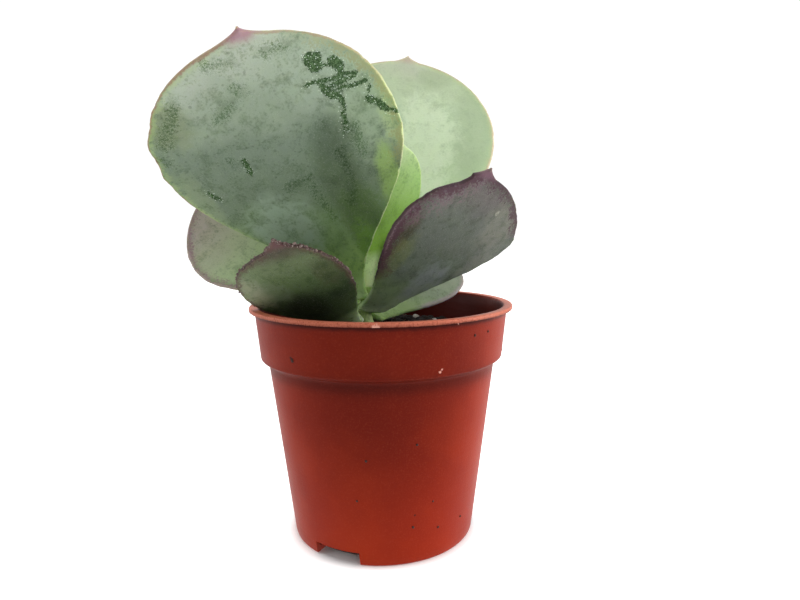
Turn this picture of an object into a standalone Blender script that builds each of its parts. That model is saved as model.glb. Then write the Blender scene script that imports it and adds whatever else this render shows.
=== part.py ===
"""A young potted kalanchoe: eight fleshy leaves in four crossed pairs on a short stem,
standing in potting soil in a thin 55 mm nursery pot.

Everything is worked in millimetres and scaled to metres once, when a mesh is made.
The pot's axis is the Z axis, its underside lies on z = 0, and the front is -Y.
"""
import math
import random
from dataclasses import dataclass

import bmesh
import bpy
from mathutils import Vector

MM = 0.001
GAP = 0.3                     # clearance kept between neighbouring pieces

# nursery pot, radii and heights
POT_HEIGHT = 48.65
BASE_RADIUS = 19.25
SHOULDER_RADIUS = 23.8
SHOULDER_HEIGHT = 36.6
BAND_FOOT_RADIUS = 25.4
BAND_FOOT_HEIGHT = 38.0
BAND_TOP_RADIUS = 26.45
LIP_RADIUS = 27.5
LIP_DEPTH = 0.85
LIP_ROUND = 0.3               # rounding of the lip's two edges
BAND_TOP_GAP = 0.1            # the inner edge of the lip's top, inside the band's radius
BAND_ROUND = 0.7              # height over which the band's foot is rounded
BAND_UNDERCUT = 0.25          # how far its corner and the shoulder's are eased
FOOT_ROUND = 0.6
MOUTH_FLARE = 0.3
WALL = 0.9
FLOOR = 1.0
POT_SEGMENTS = 72

# drain slots through the corner of wall and floor
SLOT_COUNT = 3
SLOT_FIRST_HEADING = 241.0
SLOT_ARC = 30.0
SLOT_HEIGHT = 2.7
SLOT_REACH = 4.2
SLOT_STEPS = 6
SLOT_OVERRUN = 3.0            # how far a slot's cutter stands out past the wall
SLOT_UNDERRUN = 1.0           # and below the underside

# soil
SOIL_EDGE_HEIGHT = 41.0
SOIL_CROWN_HEIGHT = 43.3
SOIL_RELIEF = 0.35
SOIL_SEGMENTS = 56
SOIL_SEED = 7
SOIL_SIDE_CLEAR = 0.1
SOIL_SIDE_MIDDLE = 18.0
SOIL_RINGS = (1.0, 0.9, 0.76, 0.6, 0.44, 0.3, 0.16)
SOCKET_MOUTH_DROP = 0.4

# stem, with the root crown that goes down into the soil
STEM_X = -3.5
STEM_Y = 0.0
STEM_RADIUS = 1.9
STEM_TOP = 51.6
STEM_WAIST = 44.2
STEM_STEPS = 7
NODE_SWELL = 0.1              # the stem's radius grows at a leaf node and shrinks between
NODE_REACH = 0.5
TIP_RADIUS = 0.6
CROWN_BOTTOM = 31.0
CROWN_TIP_RADIUS = 0.9
CROWN_RADIUS = 2.3
SOCKET_SEGMENTS = 16

# leaf blade
BLADE_STATIONS = 18
SIDE_POINTS = 7
BUTT_THICKNESS = 2.0
BLADE_THICKNESS = 2.3
APEX_THICKNESS = 1.1
MARGIN_THICKNESS = 0.8
POINT_LENGTH = 1.6
POINT_WIDTH = 3.0
POINT_TIP_WIDTH = 0.5
CLASP_HOLDS = 0.12
CLASP_OPENS = 0.36
LEFT_HOLD = 0.3


@dataclass
class Leaf:
    """One leaf: where it springs from, how it leans and how its blade is shaped.

    Angles are in degrees and lengths in millimetres. The heading is measured round Z
    from +X; lopside widens the left half of the blade and narrows the right one. A clasp
    is the radius to which the right half is folded at the butt, round what stands inside.
    """

    name: str
    base: tuple
    heading: float
    rise: float
    length: float
    width: float
    start: float = 0.0
    droop: float = 0.0
    sweep: float = 0.0
    roll: float = 0.0
    twist: float = 0.0
    widest: float = 0.63
    butt: float = 0.18
    waist: float = 1.5
    apex: float = 2.1
    cup: float = 8.0
    lopside: float = 0.0
    clasp: float = 0.0
    colour: tuple = (0.20, 0.30, 0.16)


LEAVES = [
    Leaf("large_front_leaf", (-4.95, -1.6, 49.4), heading=228, rise=53, length=56.0, width=42.3,
         start=0.7, droop=4, sweep=30, roll=11.5, twist=20, butt=0.14, waist=1.94, apex=2.27,
         cup=5.3, colour=(0.23, 0.31, 0.22)),
    Leaf("large_back_leaf", (-1.9, 2.1, 49.5), heading=58.5, rise=72, length=55.8, width=44.3,
         start=0.6, droop=1.6, sweep=5.4, roll=14.6, twist=7, butt=0.22, apex=1.9, cup=11.2,
         clasp=3.9, colour=(0.42, 0.55, 0.32)),
    Leaf("right_leaf", (-2.6, -0.9, 46.7), heading=-42, rise=32, length=39.2, width=32.6,
         start=1.4, droop=-23, sweep=6.5, roll=-10, twist=-5.5, widest=0.68, butt=0.26,
         waist=2.3, apex=1.5, cup=2, lopside=0.18, colour=(0.14, 0.16, 0.13)),
    Leaf("left_leaf", (-5.5, 1.2, 47.0), heading=153, rise=37.8, length=44.0, width=34.5,
         start=0.8, droop=8, sweep=17, roll=-18, twist=-41, waist=1.7, apex=1.91,
         cup=6.6, colour=(0.22, 0.29, 0.18)),
    Leaf("low_front_leaf", (-5.2, -2.0, 44.4), heading=231.5, rise=30, length=29.6, width=22.4,
         start=0.5, droop=-10, sweep=6.7, roll=31, twist=-13, waist=1.8, apex=1.95,
         cup=3, lopside=-0.19, colour=(0.10, 0.14, 0.06)),
    Leaf("low_back_leaf", (-2.56, 1.49, 44.5), heading=54.3, rise=27.4, length=30.0, width=24.6,
         start=1.2, droop=4.8, roll=15.4, twist=2.9, butt=0.16, waist=1.41, apex=2.25,
         cup=2, colour=(0.36, 0.45, 0.28)),
    Leaf("inner_right_leaf", (-2.8, -0.8, 52.2), heading=-54, rise=80, length=30.0, width=22.5,
         droop=14, butt=0.13, waist=2.6, cup=14, colour=(0.30, 0.48, 0.10)),
    Leaf("inner_left_leaf", (-5.4, 0.2, 52.2), heading=120, rise=83, length=20.0, width=9.5,
         droop=5, roll=-15, butt=0.4, cup=18, colour=(0.30, 0.48, 0.10)),
]

POT_COLOUR = (0.36, 0.045, 0.018)
SOIL_COLOUR = (0.022, 0.017, 0.013)
STEM_COLOUR = (0.25, 0.33, 0.14)


def clear_scene():
    """Empty the scene so that a rebuild starts from nothing."""
    for obj in list(bpy.data.objects):
        bpy.data.objects.remove(obj, do_unlink=True)


def material(name, colour, roughness):
    """A Principled material with one colour."""
    made = bpy.data.materials.new(name)
    made.use_nodes = True
    shader = made.node_tree.nodes["Principled BSDF"]
    shader.inputs["Base Color"].default_value = (*colour, 1.0)
    shader.inputs["Roughness"].default_value = roughness
    shader.inputs["Metallic"].default_value = 0.0
    return made


def object_from(name, bm, finish):
    """Put a finished bmesh, drawn in millimetres, into the scene in metres."""
    bmesh.ops.scale(bm, vec=(MM, MM, MM), verts=bm.verts)
    bmesh.ops.recalc_face_normals(bm, faces=bm.faces)
    for face in bm.faces:
        face.smooth = True
    mesh = bpy.data.meshes.new(name)
    bm.to_mesh(mesh)
    bm.free()
    mesh.materials.append(finish)
    obj = bpy.data.objects.new(name, mesh)
    bpy.context.scene.collection.objects.link(obj)
    return obj


def skin(bm, rings):
    """Join equal rings of points into one closed skin, capped at both ends."""
    loops = [[bm.verts.new(point) for point in ring] for ring in rings]
    count = len(loops[0])
    for lower, upper in zip(loops, loops[1:]):
        for i in range(count):
            j = (i + 1) % count
            bm.faces.new((lower[i], lower[j], upper[j], upper[i]))
    bm.faces.new(reversed(loops[0]))
    bm.faces.new(loops[-1])


def circle(radius, height, segments, centre=(0.0, 0.0)):
    """A level ring of points round a centre."""
    points = []
    for i in range(segments):
        angle = math.tau * i / segments
        points.append(Vector((centre[0] + radius * math.cos(angle),
                              centre[1] + radius * math.sin(angle), height)))
    return points


# ---------------------------------------------------------------- pot


def wall_radius(height):
    """Outer radius of the pot's wall at a height."""
    if height <= SHOULDER_HEIGHT:
        return BASE_RADIUS + (SHOULDER_RADIUS - BASE_RADIUS) * height / SHOULDER_HEIGHT
    if height <= BAND_FOOT_HEIGHT:
        share = (height - SHOULDER_HEIGHT) / (BAND_FOOT_HEIGHT - SHOULDER_HEIGHT)
        return SHOULDER_RADIUS + (BAND_FOOT_RADIUS - SHOULDER_RADIUS) * share
    share = (height - BAND_FOOT_HEIGHT) / (POT_HEIGHT - BAND_FOOT_HEIGHT)
    return BAND_FOOT_RADIUS + (BAND_TOP_RADIUS - BAND_FOOT_RADIUS) * share


def pot_profile():
    """Outer side from the lip down, then the underside, then the inside back up."""
    lip_foot = POT_HEIGHT - LIP_DEPTH
    band_top = wall_radius(lip_foot)
    outer = [
        (BAND_TOP_RADIUS - BAND_TOP_GAP, POT_HEIGHT),
        (LIP_RADIUS - LIP_ROUND, POT_HEIGHT),
        (LIP_RADIUS, POT_HEIGHT - LIP_ROUND),
        (LIP_RADIUS, lip_foot + LIP_ROUND / 2),
        (LIP_RADIUS - LIP_ROUND / 2, lip_foot),
        (band_top + LIP_ROUND / 2, lip_foot - LIP_ROUND / 3),
        (BAND_FOOT_RADIUS + 0.03, BAND_FOOT_HEIGHT + BAND_ROUND),
        (BAND_FOOT_RADIUS - BAND_UNDERCUT, BAND_FOOT_HEIGHT),
        (SHOULDER_RADIUS + BAND_UNDERCUT, SHOULDER_HEIGHT + BAND_ROUND / 2),
        (SHOULDER_RADIUS - 0.12, SHOULDER_HEIGHT - BAND_ROUND),
        (BASE_RADIUS + 0.12, FOOT_ROUND + 0.2),
        (BASE_RADIUS - FOOT_ROUND, 0.0),
        (0.0, 0.0),
    ]
    inner = [
        (0.0, FLOOR),
        (BASE_RADIUS - WALL - FOOT_ROUND, FLOOR),
        (BASE_RADIUS - WALL + 0.1, FLOOR + FOOT_ROUND),
        (SHOULDER_RADIUS - WALL, SHOULDER_HEIGHT + 0.1),
        (BAND_FOOT_RADIUS - WALL, BAND_FOOT_HEIGHT + WALL),
        (BAND_TOP_RADIUS - WALL, POT_HEIGHT - 0.4),
        (BAND_TOP_RADIUS - WALL + MOUTH_FLARE, POT_HEIGHT),
    ]
    return outer + inner


def add_slot_cutter(index):
    """A wedge that opens one drain slot through the corner of wall and floor."""
    middle = SLOT_FIRST_HEADING + index * 360.0 / SLOT_COUNT
    inside = BASE_RADIUS - SLOT_REACH
    outside = BASE_RADIUS + SLOT_OVERRUN
    rings = []
    for step in range(SLOT_STEPS + 1):
        angle = math.radians(middle + SLOT_ARC * (step / SLOT_STEPS - 0.5))
        way = Vector((math.cos(angle), math.sin(angle), 0.0))
        foot = Vector((0, 0, -SLOT_UNDERRUN))
        head = Vector((0, 0, SLOT_HEIGHT))
        rings.append([way * inside + foot, way * outside + foot, way * outside + head, way * inside + head])
    bm = bmesh.new()
    skin(bm, rings)
    cutter = object_from(f"slot_cutter_{index + 1}", bm, material("cutter", (0.5, 0.5, 0.5), 0.5))
    cutter.hide_render = True
    cutter.display_type = "WIRE"
    return cutter


def add_pot():
    """The nursery pot: a thin turned wall with a stepped band, a lip and drain slots."""
    profile = bmesh.new()
    points = [profile.verts.new((radius, 0.0, height)) for radius, height in pot_profile()]
    for first, second in zip(points, points[1:]):
        profile.edges.new((first, second))
    profile.edges.new((points[-1], points[0]))
    pot = object_from("pot", profile, material("pot_plastic", POT_COLOUR, 0.6))
    screw = pot.modifiers.new("turn", "SCREW")
    screw.axis = "Z"
    screw.steps = POT_SEGMENTS
    screw.render_steps = POT_SEGMENTS
    screw.use_merge_vertices = True
    screw.merge_threshold = 0.00001
    screw.use_smooth_shade = True
    for index in range(SLOT_COUNT):
        cut = pot.modifiers.new("drain", "BOOLEAN")
        cut.operation = "DIFFERENCE"
        cut.solver = "EXACT"
        cut.object = add_slot_cutter(index)
    return pot


# ---------------------------------------------------------------- soil and stem


def soil_height(radius):
    """Height of the soil's surface: domed towards the stem, level at the wall."""
    edge = wall_radius(SOIL_EDGE_HEIGHT)
    share = min(1.0, radius / edge)
    return SOIL_EDGE_HEIGHT + (SOIL_CROWN_HEIGHT - SOIL_EDGE_HEIGHT) * (1.0 - share * share)


def add_soil():
    """Potting soil that fills the pot, with a tapered socket for the root crown."""
    rng = random.Random(SOIL_SEED)
    clear = WALL + GAP + SOIL_SIDE_CLEAR
    sides = [
        (BASE_RADIUS - clear - 0.8, FLOOR + GAP),
        (BASE_RADIUS - clear + 0.2, FLOOR + GAP + 1.0),
        (wall_radius(SOIL_SIDE_MIDDLE) - clear, SOIL_SIDE_MIDDLE),
        (SHOULDER_RADIUS - clear, SHOULDER_HEIGHT + 0.2),
        (BAND_FOOT_RADIUS - clear, BAND_FOOT_HEIGHT + 1.4),
    ]
    rings = [circle(radius, height, SOIL_SEGMENTS) for radius, height in sides]
    edge = wall_radius(SOIL_EDGE_HEIGHT) - clear
    stem = Vector((STEM_X, STEM_Y, 0.0))
    mouth = CROWN_RADIUS + GAP
    for share in SOIL_RINGS:
        ring = []
        for point in circle(edge, 0.0, SOIL_SEGMENTS):
            start = stem + (point - stem).normalized() * mouth
            place = start.lerp(point, share)
            relief = 0.0 if share == 1.0 else rng.uniform(-SOIL_RELIEF, SOIL_RELIEF)
            place.z = soil_height(place.length) + relief
            ring.append(place)
        rings.append(ring)
    socket = [(mouth, SOIL_CROWN_HEIGHT - SOCKET_MOUTH_DROP),
              (CROWN_TIP_RADIUS + GAP + 0.1, CROWN_BOTTOM - GAP)]
    for radius, height in socket:
        ring = []
        for point in circle(edge, 0.0, SOIL_SEGMENTS):
            place = stem + (point - stem).normalized() * radius
            place.z = height
            ring.append(place)
        rings.append(ring)
    bm = bmesh.new()
    skin(bm, rings)
    return object_from("soil", bm, material("soil_black", SOIL_COLOUR, 0.95))


def add_stem():
    """The short stem, thickened at each leaf node, and the root crown below it."""
    nodes = [leaf.base[2] for leaf in LEAVES[1::2]]
    rings = [circle(CROWN_TIP_RADIUS, CROWN_BOTTOM, SOCKET_SEGMENTS, (STEM_X, STEM_Y)),
             circle(CROWN_RADIUS - NODE_SWELL, SOIL_CROWN_HEIGHT - 1.6, SOCKET_SEGMENTS, (STEM_X, STEM_Y)),
             circle(STEM_RADIUS - NODE_SWELL, SOIL_CROWN_HEIGHT, SOCKET_SEGMENTS, (STEM_X, STEM_Y))]
    for i in range(STEM_STEPS + 1):
        share = i / STEM_STEPS
        height = STEM_WAIST + (STEM_TOP - STEM_WAIST) * share
        near_node = min(abs(height - node) for node in nodes) < NODE_REACH
        swell = NODE_SWELL if near_node else -NODE_SWELL
        radius = STEM_RADIUS + (TIP_RADIUS - STEM_RADIUS) * share + swell
        rings.append(circle(radius, height, SOCKET_SEGMENTS, (STEM_X, STEM_Y)))
    bm = bmesh.new()
    skin(bm, rings)
    return object_from("stem", bm, material("stem_green", STEM_COLOUR, 0.7))


# ---------------------------------------------------------------- leaves


def half_width(leaf, along):
    """Half the blade's width at a distance along the midrib."""
    share = along / leaf.length
    point = (leaf.length + POINT_LENGTH - along) / POINT_LENGTH
    tooth = (POINT_TIP_WIDTH + (POINT_WIDTH - POINT_TIP_WIDTH) * max(0.0, point) ** 0.8) / 2
    if share < leaf.widest:
        rise = math.sin(share / leaf.widest * math.pi / 2) ** leaf.waist
        return leaf.width / 2 * (leaf.butt + (1 - leaf.butt) * rise)
    fall = min(1.0, (share - leaf.widest) / (1 - leaf.widest))
    blade = leaf.width / 2 * math.sqrt(1 - fall ** leaf.apex)
    return max(blade, tooth)


def thickness(leaf, along):
    """Thickness on the midrib: fleshy at the butt, thin at the apex."""
    share = min(1.0, along / leaf.length)
    body = BUTT_THICKNESS + (BLADE_THICKNESS - BUTT_THICKNESS) * share
    return APEX_THICKNESS + (body - APEX_THICKNESS) * (1 - share ** 3)


def stations(leaf):
    """Distances along the midrib, closer together towards the apex."""
    spread = []
    for i in range(BLADE_STATIONS):
        share = i / (BLADE_STATIONS - 1)
        spread.append(leaf.start + (leaf.length - leaf.start) * (1 - (1 - share) ** 1.9))
    return spread + [leaf.length + POINT_LENGTH * 0.5, leaf.length + POINT_LENGTH]


def blade_frame(leaf, along, steps=40):
    """Point on the midrib, with the blade's leftward and upper-face directions there."""
    place = Vector(leaf.base)
    step = along / steps
    for i in range(steps):
        place += direction(leaf, (i + 0.5) * step) * step
    share = min(1.0, along / leaf.length)
    heading = math.radians(leaf.heading + leaf.sweep * share)
    ahead = direction(leaf, along)
    left = Vector((-math.sin(heading), math.cos(heading), 0.0))
    upper = ahead.cross(left)
    roll = math.radians(leaf.roll + leaf.twist * share)
    across = left * math.cos(roll) + upper * math.sin(roll)
    face = upper * math.cos(roll) - left * math.sin(roll)
    return place, across, face


def direction(leaf, along):
    """Unit direction of the midrib at a distance along it."""
    share = min(1.0, along / leaf.length)
    rise = math.radians(leaf.rise - leaf.droop * share)
    heading = math.radians(leaf.heading + leaf.sweep * share)
    return Vector((math.cos(rise) * math.cos(heading), math.cos(rise) * math.sin(heading), math.sin(rise)))


def bow_radius(leaf, share, side):
    """Radius of the blade's curve on one side of the midrib, tight where a butt clasps."""
    bend = math.radians(leaf.cup) * 2 / leaf.width
    if leaf.clasp:
        opened = min(1.0, max(0.0, (share - CLASP_HOLDS) / (CLASP_OPENS - CLASP_HOLDS)))
        hold = 1.0 if side < 0 else LEFT_HOLD
        bend += hold * (1 - opened * opened * (3 - 2 * opened)) / leaf.clasp
    return 1 / bend


def blade_ring(leaf, along):
    """One closed cross-section of the blade: lens-shaped, with rounded margins."""
    place, across, face = blade_frame(leaf, along)
    half = half_width(leaf, along)
    full = thickness(leaf, along)
    edge = min(MARGIN_THICKNESS / 2, half * 0.45)
    crown = max(min(full / 2, half * 0.9), edge)

    def at(side, lift):
        lop = 1 + leaf.lopside * math.copysign(1, side) * min(1.0, along / leaf.length * 2)
        bow = bow_radius(leaf, along / leaf.length, side)
        angle = side * half * lop / bow
        out = across * math.sin(angle) + face * (1 - math.cos(angle))
        up = face * math.cos(angle) - across * math.sin(angle)
        return place + out * bow + up * lift

    ring = [at(1.0, 0.0)]
    limit = 1 - 0.6 * edge / half
    sides = [limit * math.cos(math.pi * i / (SIDE_POINTS - 1)) for i in range(SIDE_POINTS)]
    for side in sides:
        ring.append(at(side, edge * 0.8 + (crown - edge * 0.8) * (1 - (side / limit) ** 2)))
    ring.append(at(-1.0, 0.0))
    for side in reversed(sides):
        ring.append(at(side, -edge * 0.8 - (crown - edge * 0.8) * (1 - (side / limit) ** 2)))
    return ring


def add_leaf(leaf):
    """One fleshy leaf with its short point, as one closed skin."""
    bm = bmesh.new()
    skin(bm, [blade_ring(leaf, along) for along in stations(leaf)])
    return object_from(leaf.name, bm, material(leaf.name + "_skin", leaf.colour, 0.6))


def main():
    """Build the pot, its soil, the stem and every leaf."""
    clear_scene()
    add_pot()
    add_soil()
    add_stem()
    for leaf in LEAVES:
        add_leaf(leaf)


main()
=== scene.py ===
"""The look of a young potted kalanchoe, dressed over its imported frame.

Eight fleshy leaves stand in four crossed pairs on a short stem, in soil in a thin
red nursery pot. Lengths inside the classes are millimetres; each mesh is scaled to
metres once, when it is made. The front of the plant is -Y and its pot's axis is Z.
"""

from __future__ import annotations

import logging
import math
import random
from dataclasses import dataclass, field
from enum import Enum
from typing import Any, Iterable, Sequence

import bpy
import numpy as np
from mathutils import Matrix, Vector, noise


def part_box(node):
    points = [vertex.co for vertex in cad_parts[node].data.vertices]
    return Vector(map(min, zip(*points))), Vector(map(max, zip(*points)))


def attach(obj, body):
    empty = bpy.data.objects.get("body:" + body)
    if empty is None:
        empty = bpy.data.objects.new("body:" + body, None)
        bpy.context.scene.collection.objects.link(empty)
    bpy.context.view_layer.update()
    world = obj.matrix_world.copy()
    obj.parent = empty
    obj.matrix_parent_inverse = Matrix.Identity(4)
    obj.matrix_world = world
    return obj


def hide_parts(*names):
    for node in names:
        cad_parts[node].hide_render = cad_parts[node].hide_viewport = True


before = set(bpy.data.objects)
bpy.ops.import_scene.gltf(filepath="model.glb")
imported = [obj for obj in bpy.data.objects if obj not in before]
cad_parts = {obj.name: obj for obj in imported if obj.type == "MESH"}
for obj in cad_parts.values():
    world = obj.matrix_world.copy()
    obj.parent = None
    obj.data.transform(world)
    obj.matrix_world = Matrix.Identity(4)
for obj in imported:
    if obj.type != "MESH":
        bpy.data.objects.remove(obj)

MM = 0.001
LOG = logging.getLogger("kalanchoe")

Colour = tuple[float, float, float]
Spot = tuple[float, float]


def tone(red: int, green: int, blue: int) -> Colour:
    """Turn a colour as the eye names it, 0 to 255, into the shader's linear light.

    Args:
        red: Red share.
        green: Green share.
        blue: Blue share.

    Returns:
        The three linear shares.
    """

    def linear(share: int) -> float:
        """One channel in linear light."""
        value = share / 255
        return value / 12.92 if value <= 0.04045 else ((value + 0.055) / 1.055) ** 2.4

    return linear(red), linear(green), linear(blue)


class Face(Enum):
    """The two faces of a leaf blade."""

    UNDER = -1
    UPPER = 1


class Half(Enum):
    """Which half of a leaf blade something lies on, looking from butt to apex."""

    BOTH = 0
    LEFT = 1
    RIGHT = -1


# --------------------------------------------------------------------- nodes


class Graph:
    """A material's nodes, written as short sums.

    Args:
        name: The material's name.
    """

    def __init__(self, name: str) -> None:
        """Start a material that holds one Principled shader."""
        self.material = bpy.data.materials.new(name)
        self.material.use_nodes = True
        self.tree = self.material.node_tree
        self.shader = self.tree.nodes["Principled BSDF"]
        self._place: Any = None

    def put(self, socket: Any, value: Any) -> None:
        """Link a socket or set its plain value.

        Args:
            socket: The input that takes it.
            value: Another node's output, a number, a colour or a vector.
        """
        if hasattr(value, "is_output"):
            self.tree.links.new(value, socket)
        elif socket.type == "RGBA":
            socket.default_value = (*value[:3], 1.0)
        else:
            socket.default_value = value

    def fix(self, name: str, value: Any) -> None:
        """Set or link one of the shader's own sockets."""
        self.put(self.shader.inputs[name], value)

    def math(self, operation: str, first: Any, second: Any = 0.0, third: Any = 0.0) -> Any:
        """One arithmetic step.

        Args:
            operation: Blender's name for it, such as MULTIPLY.
            first: First term.
            second: Second term.
            third: Third term, where the operation has one.

        Returns:
            The result's socket.
        """
        node = self.tree.nodes.new("ShaderNodeMath")
        node.operation = operation
        for socket, value in zip(node.inputs, (first, second, third)):
            self.put(socket, value)
        return node.outputs[0]

    def scaled(self, value: Any, factor: float, shift: float = 0.0) -> Any:
        """A value times a factor plus a shift."""
        return self.math("MULTIPLY_ADD", value, factor, shift)

    def times(self, first: Any, second: Any) -> Any:
        """The product of two values."""
        return self.math("MULTIPLY", first, second)

    def frayed(self, value: Any, cloud: Any, amount: float) -> Any:
        """A value pushed up and down by a noise round 0.5, by up to half the amount."""
        return self.math("ADD", value, self.scaled(cloud, amount, -amount / 2))

    def step(self, value: Any, low: float, high: float, start: float = 0.0, end: float = 1.0) -> Any:
        """Ease from start to end while a value goes from low to high.

        Args:
            value: The driving value.
            low: Where the change begins.
            high: Where it is over.
            start: Result below low.
            end: Result above high.

        Returns:
            The eased value's socket.
        """
        node = self.tree.nodes.new("ShaderNodeMapRange")
        node.interpolation_type = "SMOOTHSTEP"
        for key, given in (("Value", value), ("From Min", low), ("From Max", high),
                           ("To Min", start), ("To Max", end)):
            self.put(node.inputs[key], given)
        return node.outputs[0]

    def mix(self, share: Any, first: Any, second: Any) -> Any:
        """Blend two colours by a share."""
        node = self.tree.nodes.new("ShaderNodeMix")
        node.data_type = "RGBA"
        self.put(node.inputs[0], share)
        self.put(node.inputs[6], first)
        self.put(node.inputs[7], second)
        return node.outputs[2]

    def darken(self, share: Any, colour: Any, keep: Colour) -> Any:
        """Keep only part of a colour's light, by a share.

        Args:
            share: How much of the change to make.
            colour: The colour.
            keep: What is kept of red, green and blue.

        Returns:
            The new colour's socket.
        """
        dark = self.mix(share, colour, keep)
        dark.node.blend_type = "MULTIPLY"
        return dark

    def attribute(self, name: str) -> Any:
        """A number that the mesh carries at each vertex."""
        node = self.tree.nodes.new("ShaderNodeAttribute")
        node.attribute_name = name
        return node.outputs["Fac"]

    def place(self, stretch: tuple[float, float, float] = (1.0, 1.0, 1.0)) -> Any:
        """Object coordinates in millimetres, stretched per axis if asked.

        Args:
            stretch: Factor for each axis.

        Returns:
            The coordinates' socket.
        """
        if self._place is None:
            self._place = self.tree.nodes.new("ShaderNodeTexCoord").outputs["Object"]
        node = self.tree.nodes.new("ShaderNodeVectorMath")
        node.operation = "MULTIPLY"
        self.put(node.inputs[0], self._place)
        node.inputs[1].default_value = tuple(factor / MM for factor in stretch)
        return node.outputs[0]

    def axes(self) -> Any:
        """Object coordinates in millimetres, as three single sockets."""
        node = self.tree.nodes.new("ShaderNodeSeparateXYZ")
        self.put(node.inputs[0], self.place())
        return node.outputs

    def near(self, spot: Sequence[float]) -> Any:
        """Distance in millimetres from one point."""
        node = self.tree.nodes.new("ShaderNodeVectorMath")
        node.operation = "DISTANCE"
        self.put(node.inputs[0], self.place())
        node.inputs[1].default_value = spot
        return node.outputs["Value"]

    def noise(self, scale: float, detail: float = 3.0, rough: float = 0.55, twist: float = 0.0,
              stretch: tuple[float, float, float] = (1.0, 1.0, 1.0)) -> Any:
        """Cloudy noise, about 0.5 on average.

        Args:
            scale: Features per millimetre.
            detail: Octaves.
            rough: Strength of the fine octaves.
            twist: Distortion.
            stretch: Factor for each axis.

        Returns:
            The noise value's socket.
        """
        node = self.tree.nodes.new("ShaderNodeTexNoise")
        self.put(node.inputs["Vector"], self.place(stretch))
        node.inputs["Scale"].default_value = scale
        node.inputs["Detail"].default_value = detail
        node.inputs["Roughness"].default_value = rough
        node.inputs["Distortion"].default_value = twist
        return node.outputs["Fac"]

    def cells(self, scale: float, stretch: tuple[float, float, float] = (1.0, 1.0, 1.0)) -> Any:
        """Distance to the nearest of many scattered points, in cell widths."""
        node = self.tree.nodes.new("ShaderNodeTexVoronoi")
        self.put(node.inputs["Vector"], self.place(stretch))
        node.inputs["Scale"].default_value = scale
        return node.outputs["Distance"]

    def ramp(self, value: Any, stops: Sequence[tuple[float, Colour]]) -> Any:
        """A colour that runs through stops.

        Args:
            value: Where on the ramp, 0 to 1.
            stops: Places and their colours, in rising order.

        Returns:
            The colour's socket.
        """
        node = self.tree.nodes.new("ShaderNodeValToRGB")
        node.color_ramp.interpolation = "EASE"
        elements = node.color_ramp.elements
        for index, (place, colour) in enumerate(stops):
            stop = elements[index] if index < 2 else elements.new(place)
            stop.position = place
            stop.color = (*colour, 1.0)
        self.put(node.inputs[0], value)
        return node.outputs[0]

    def bump(self, height: Any, depth: float) -> None:
        """Relief on the shader, as a height from 0 to 1 and its real depth in millimetres."""
        node = self.tree.nodes.new("ShaderNodeBump")
        node.inputs["Strength"].default_value = 1.0
        node.inputs["Distance"].default_value = depth * MM
        self.put(node.inputs["Height"], height)
        self.fix("Normal", node.outputs[0])


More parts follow.
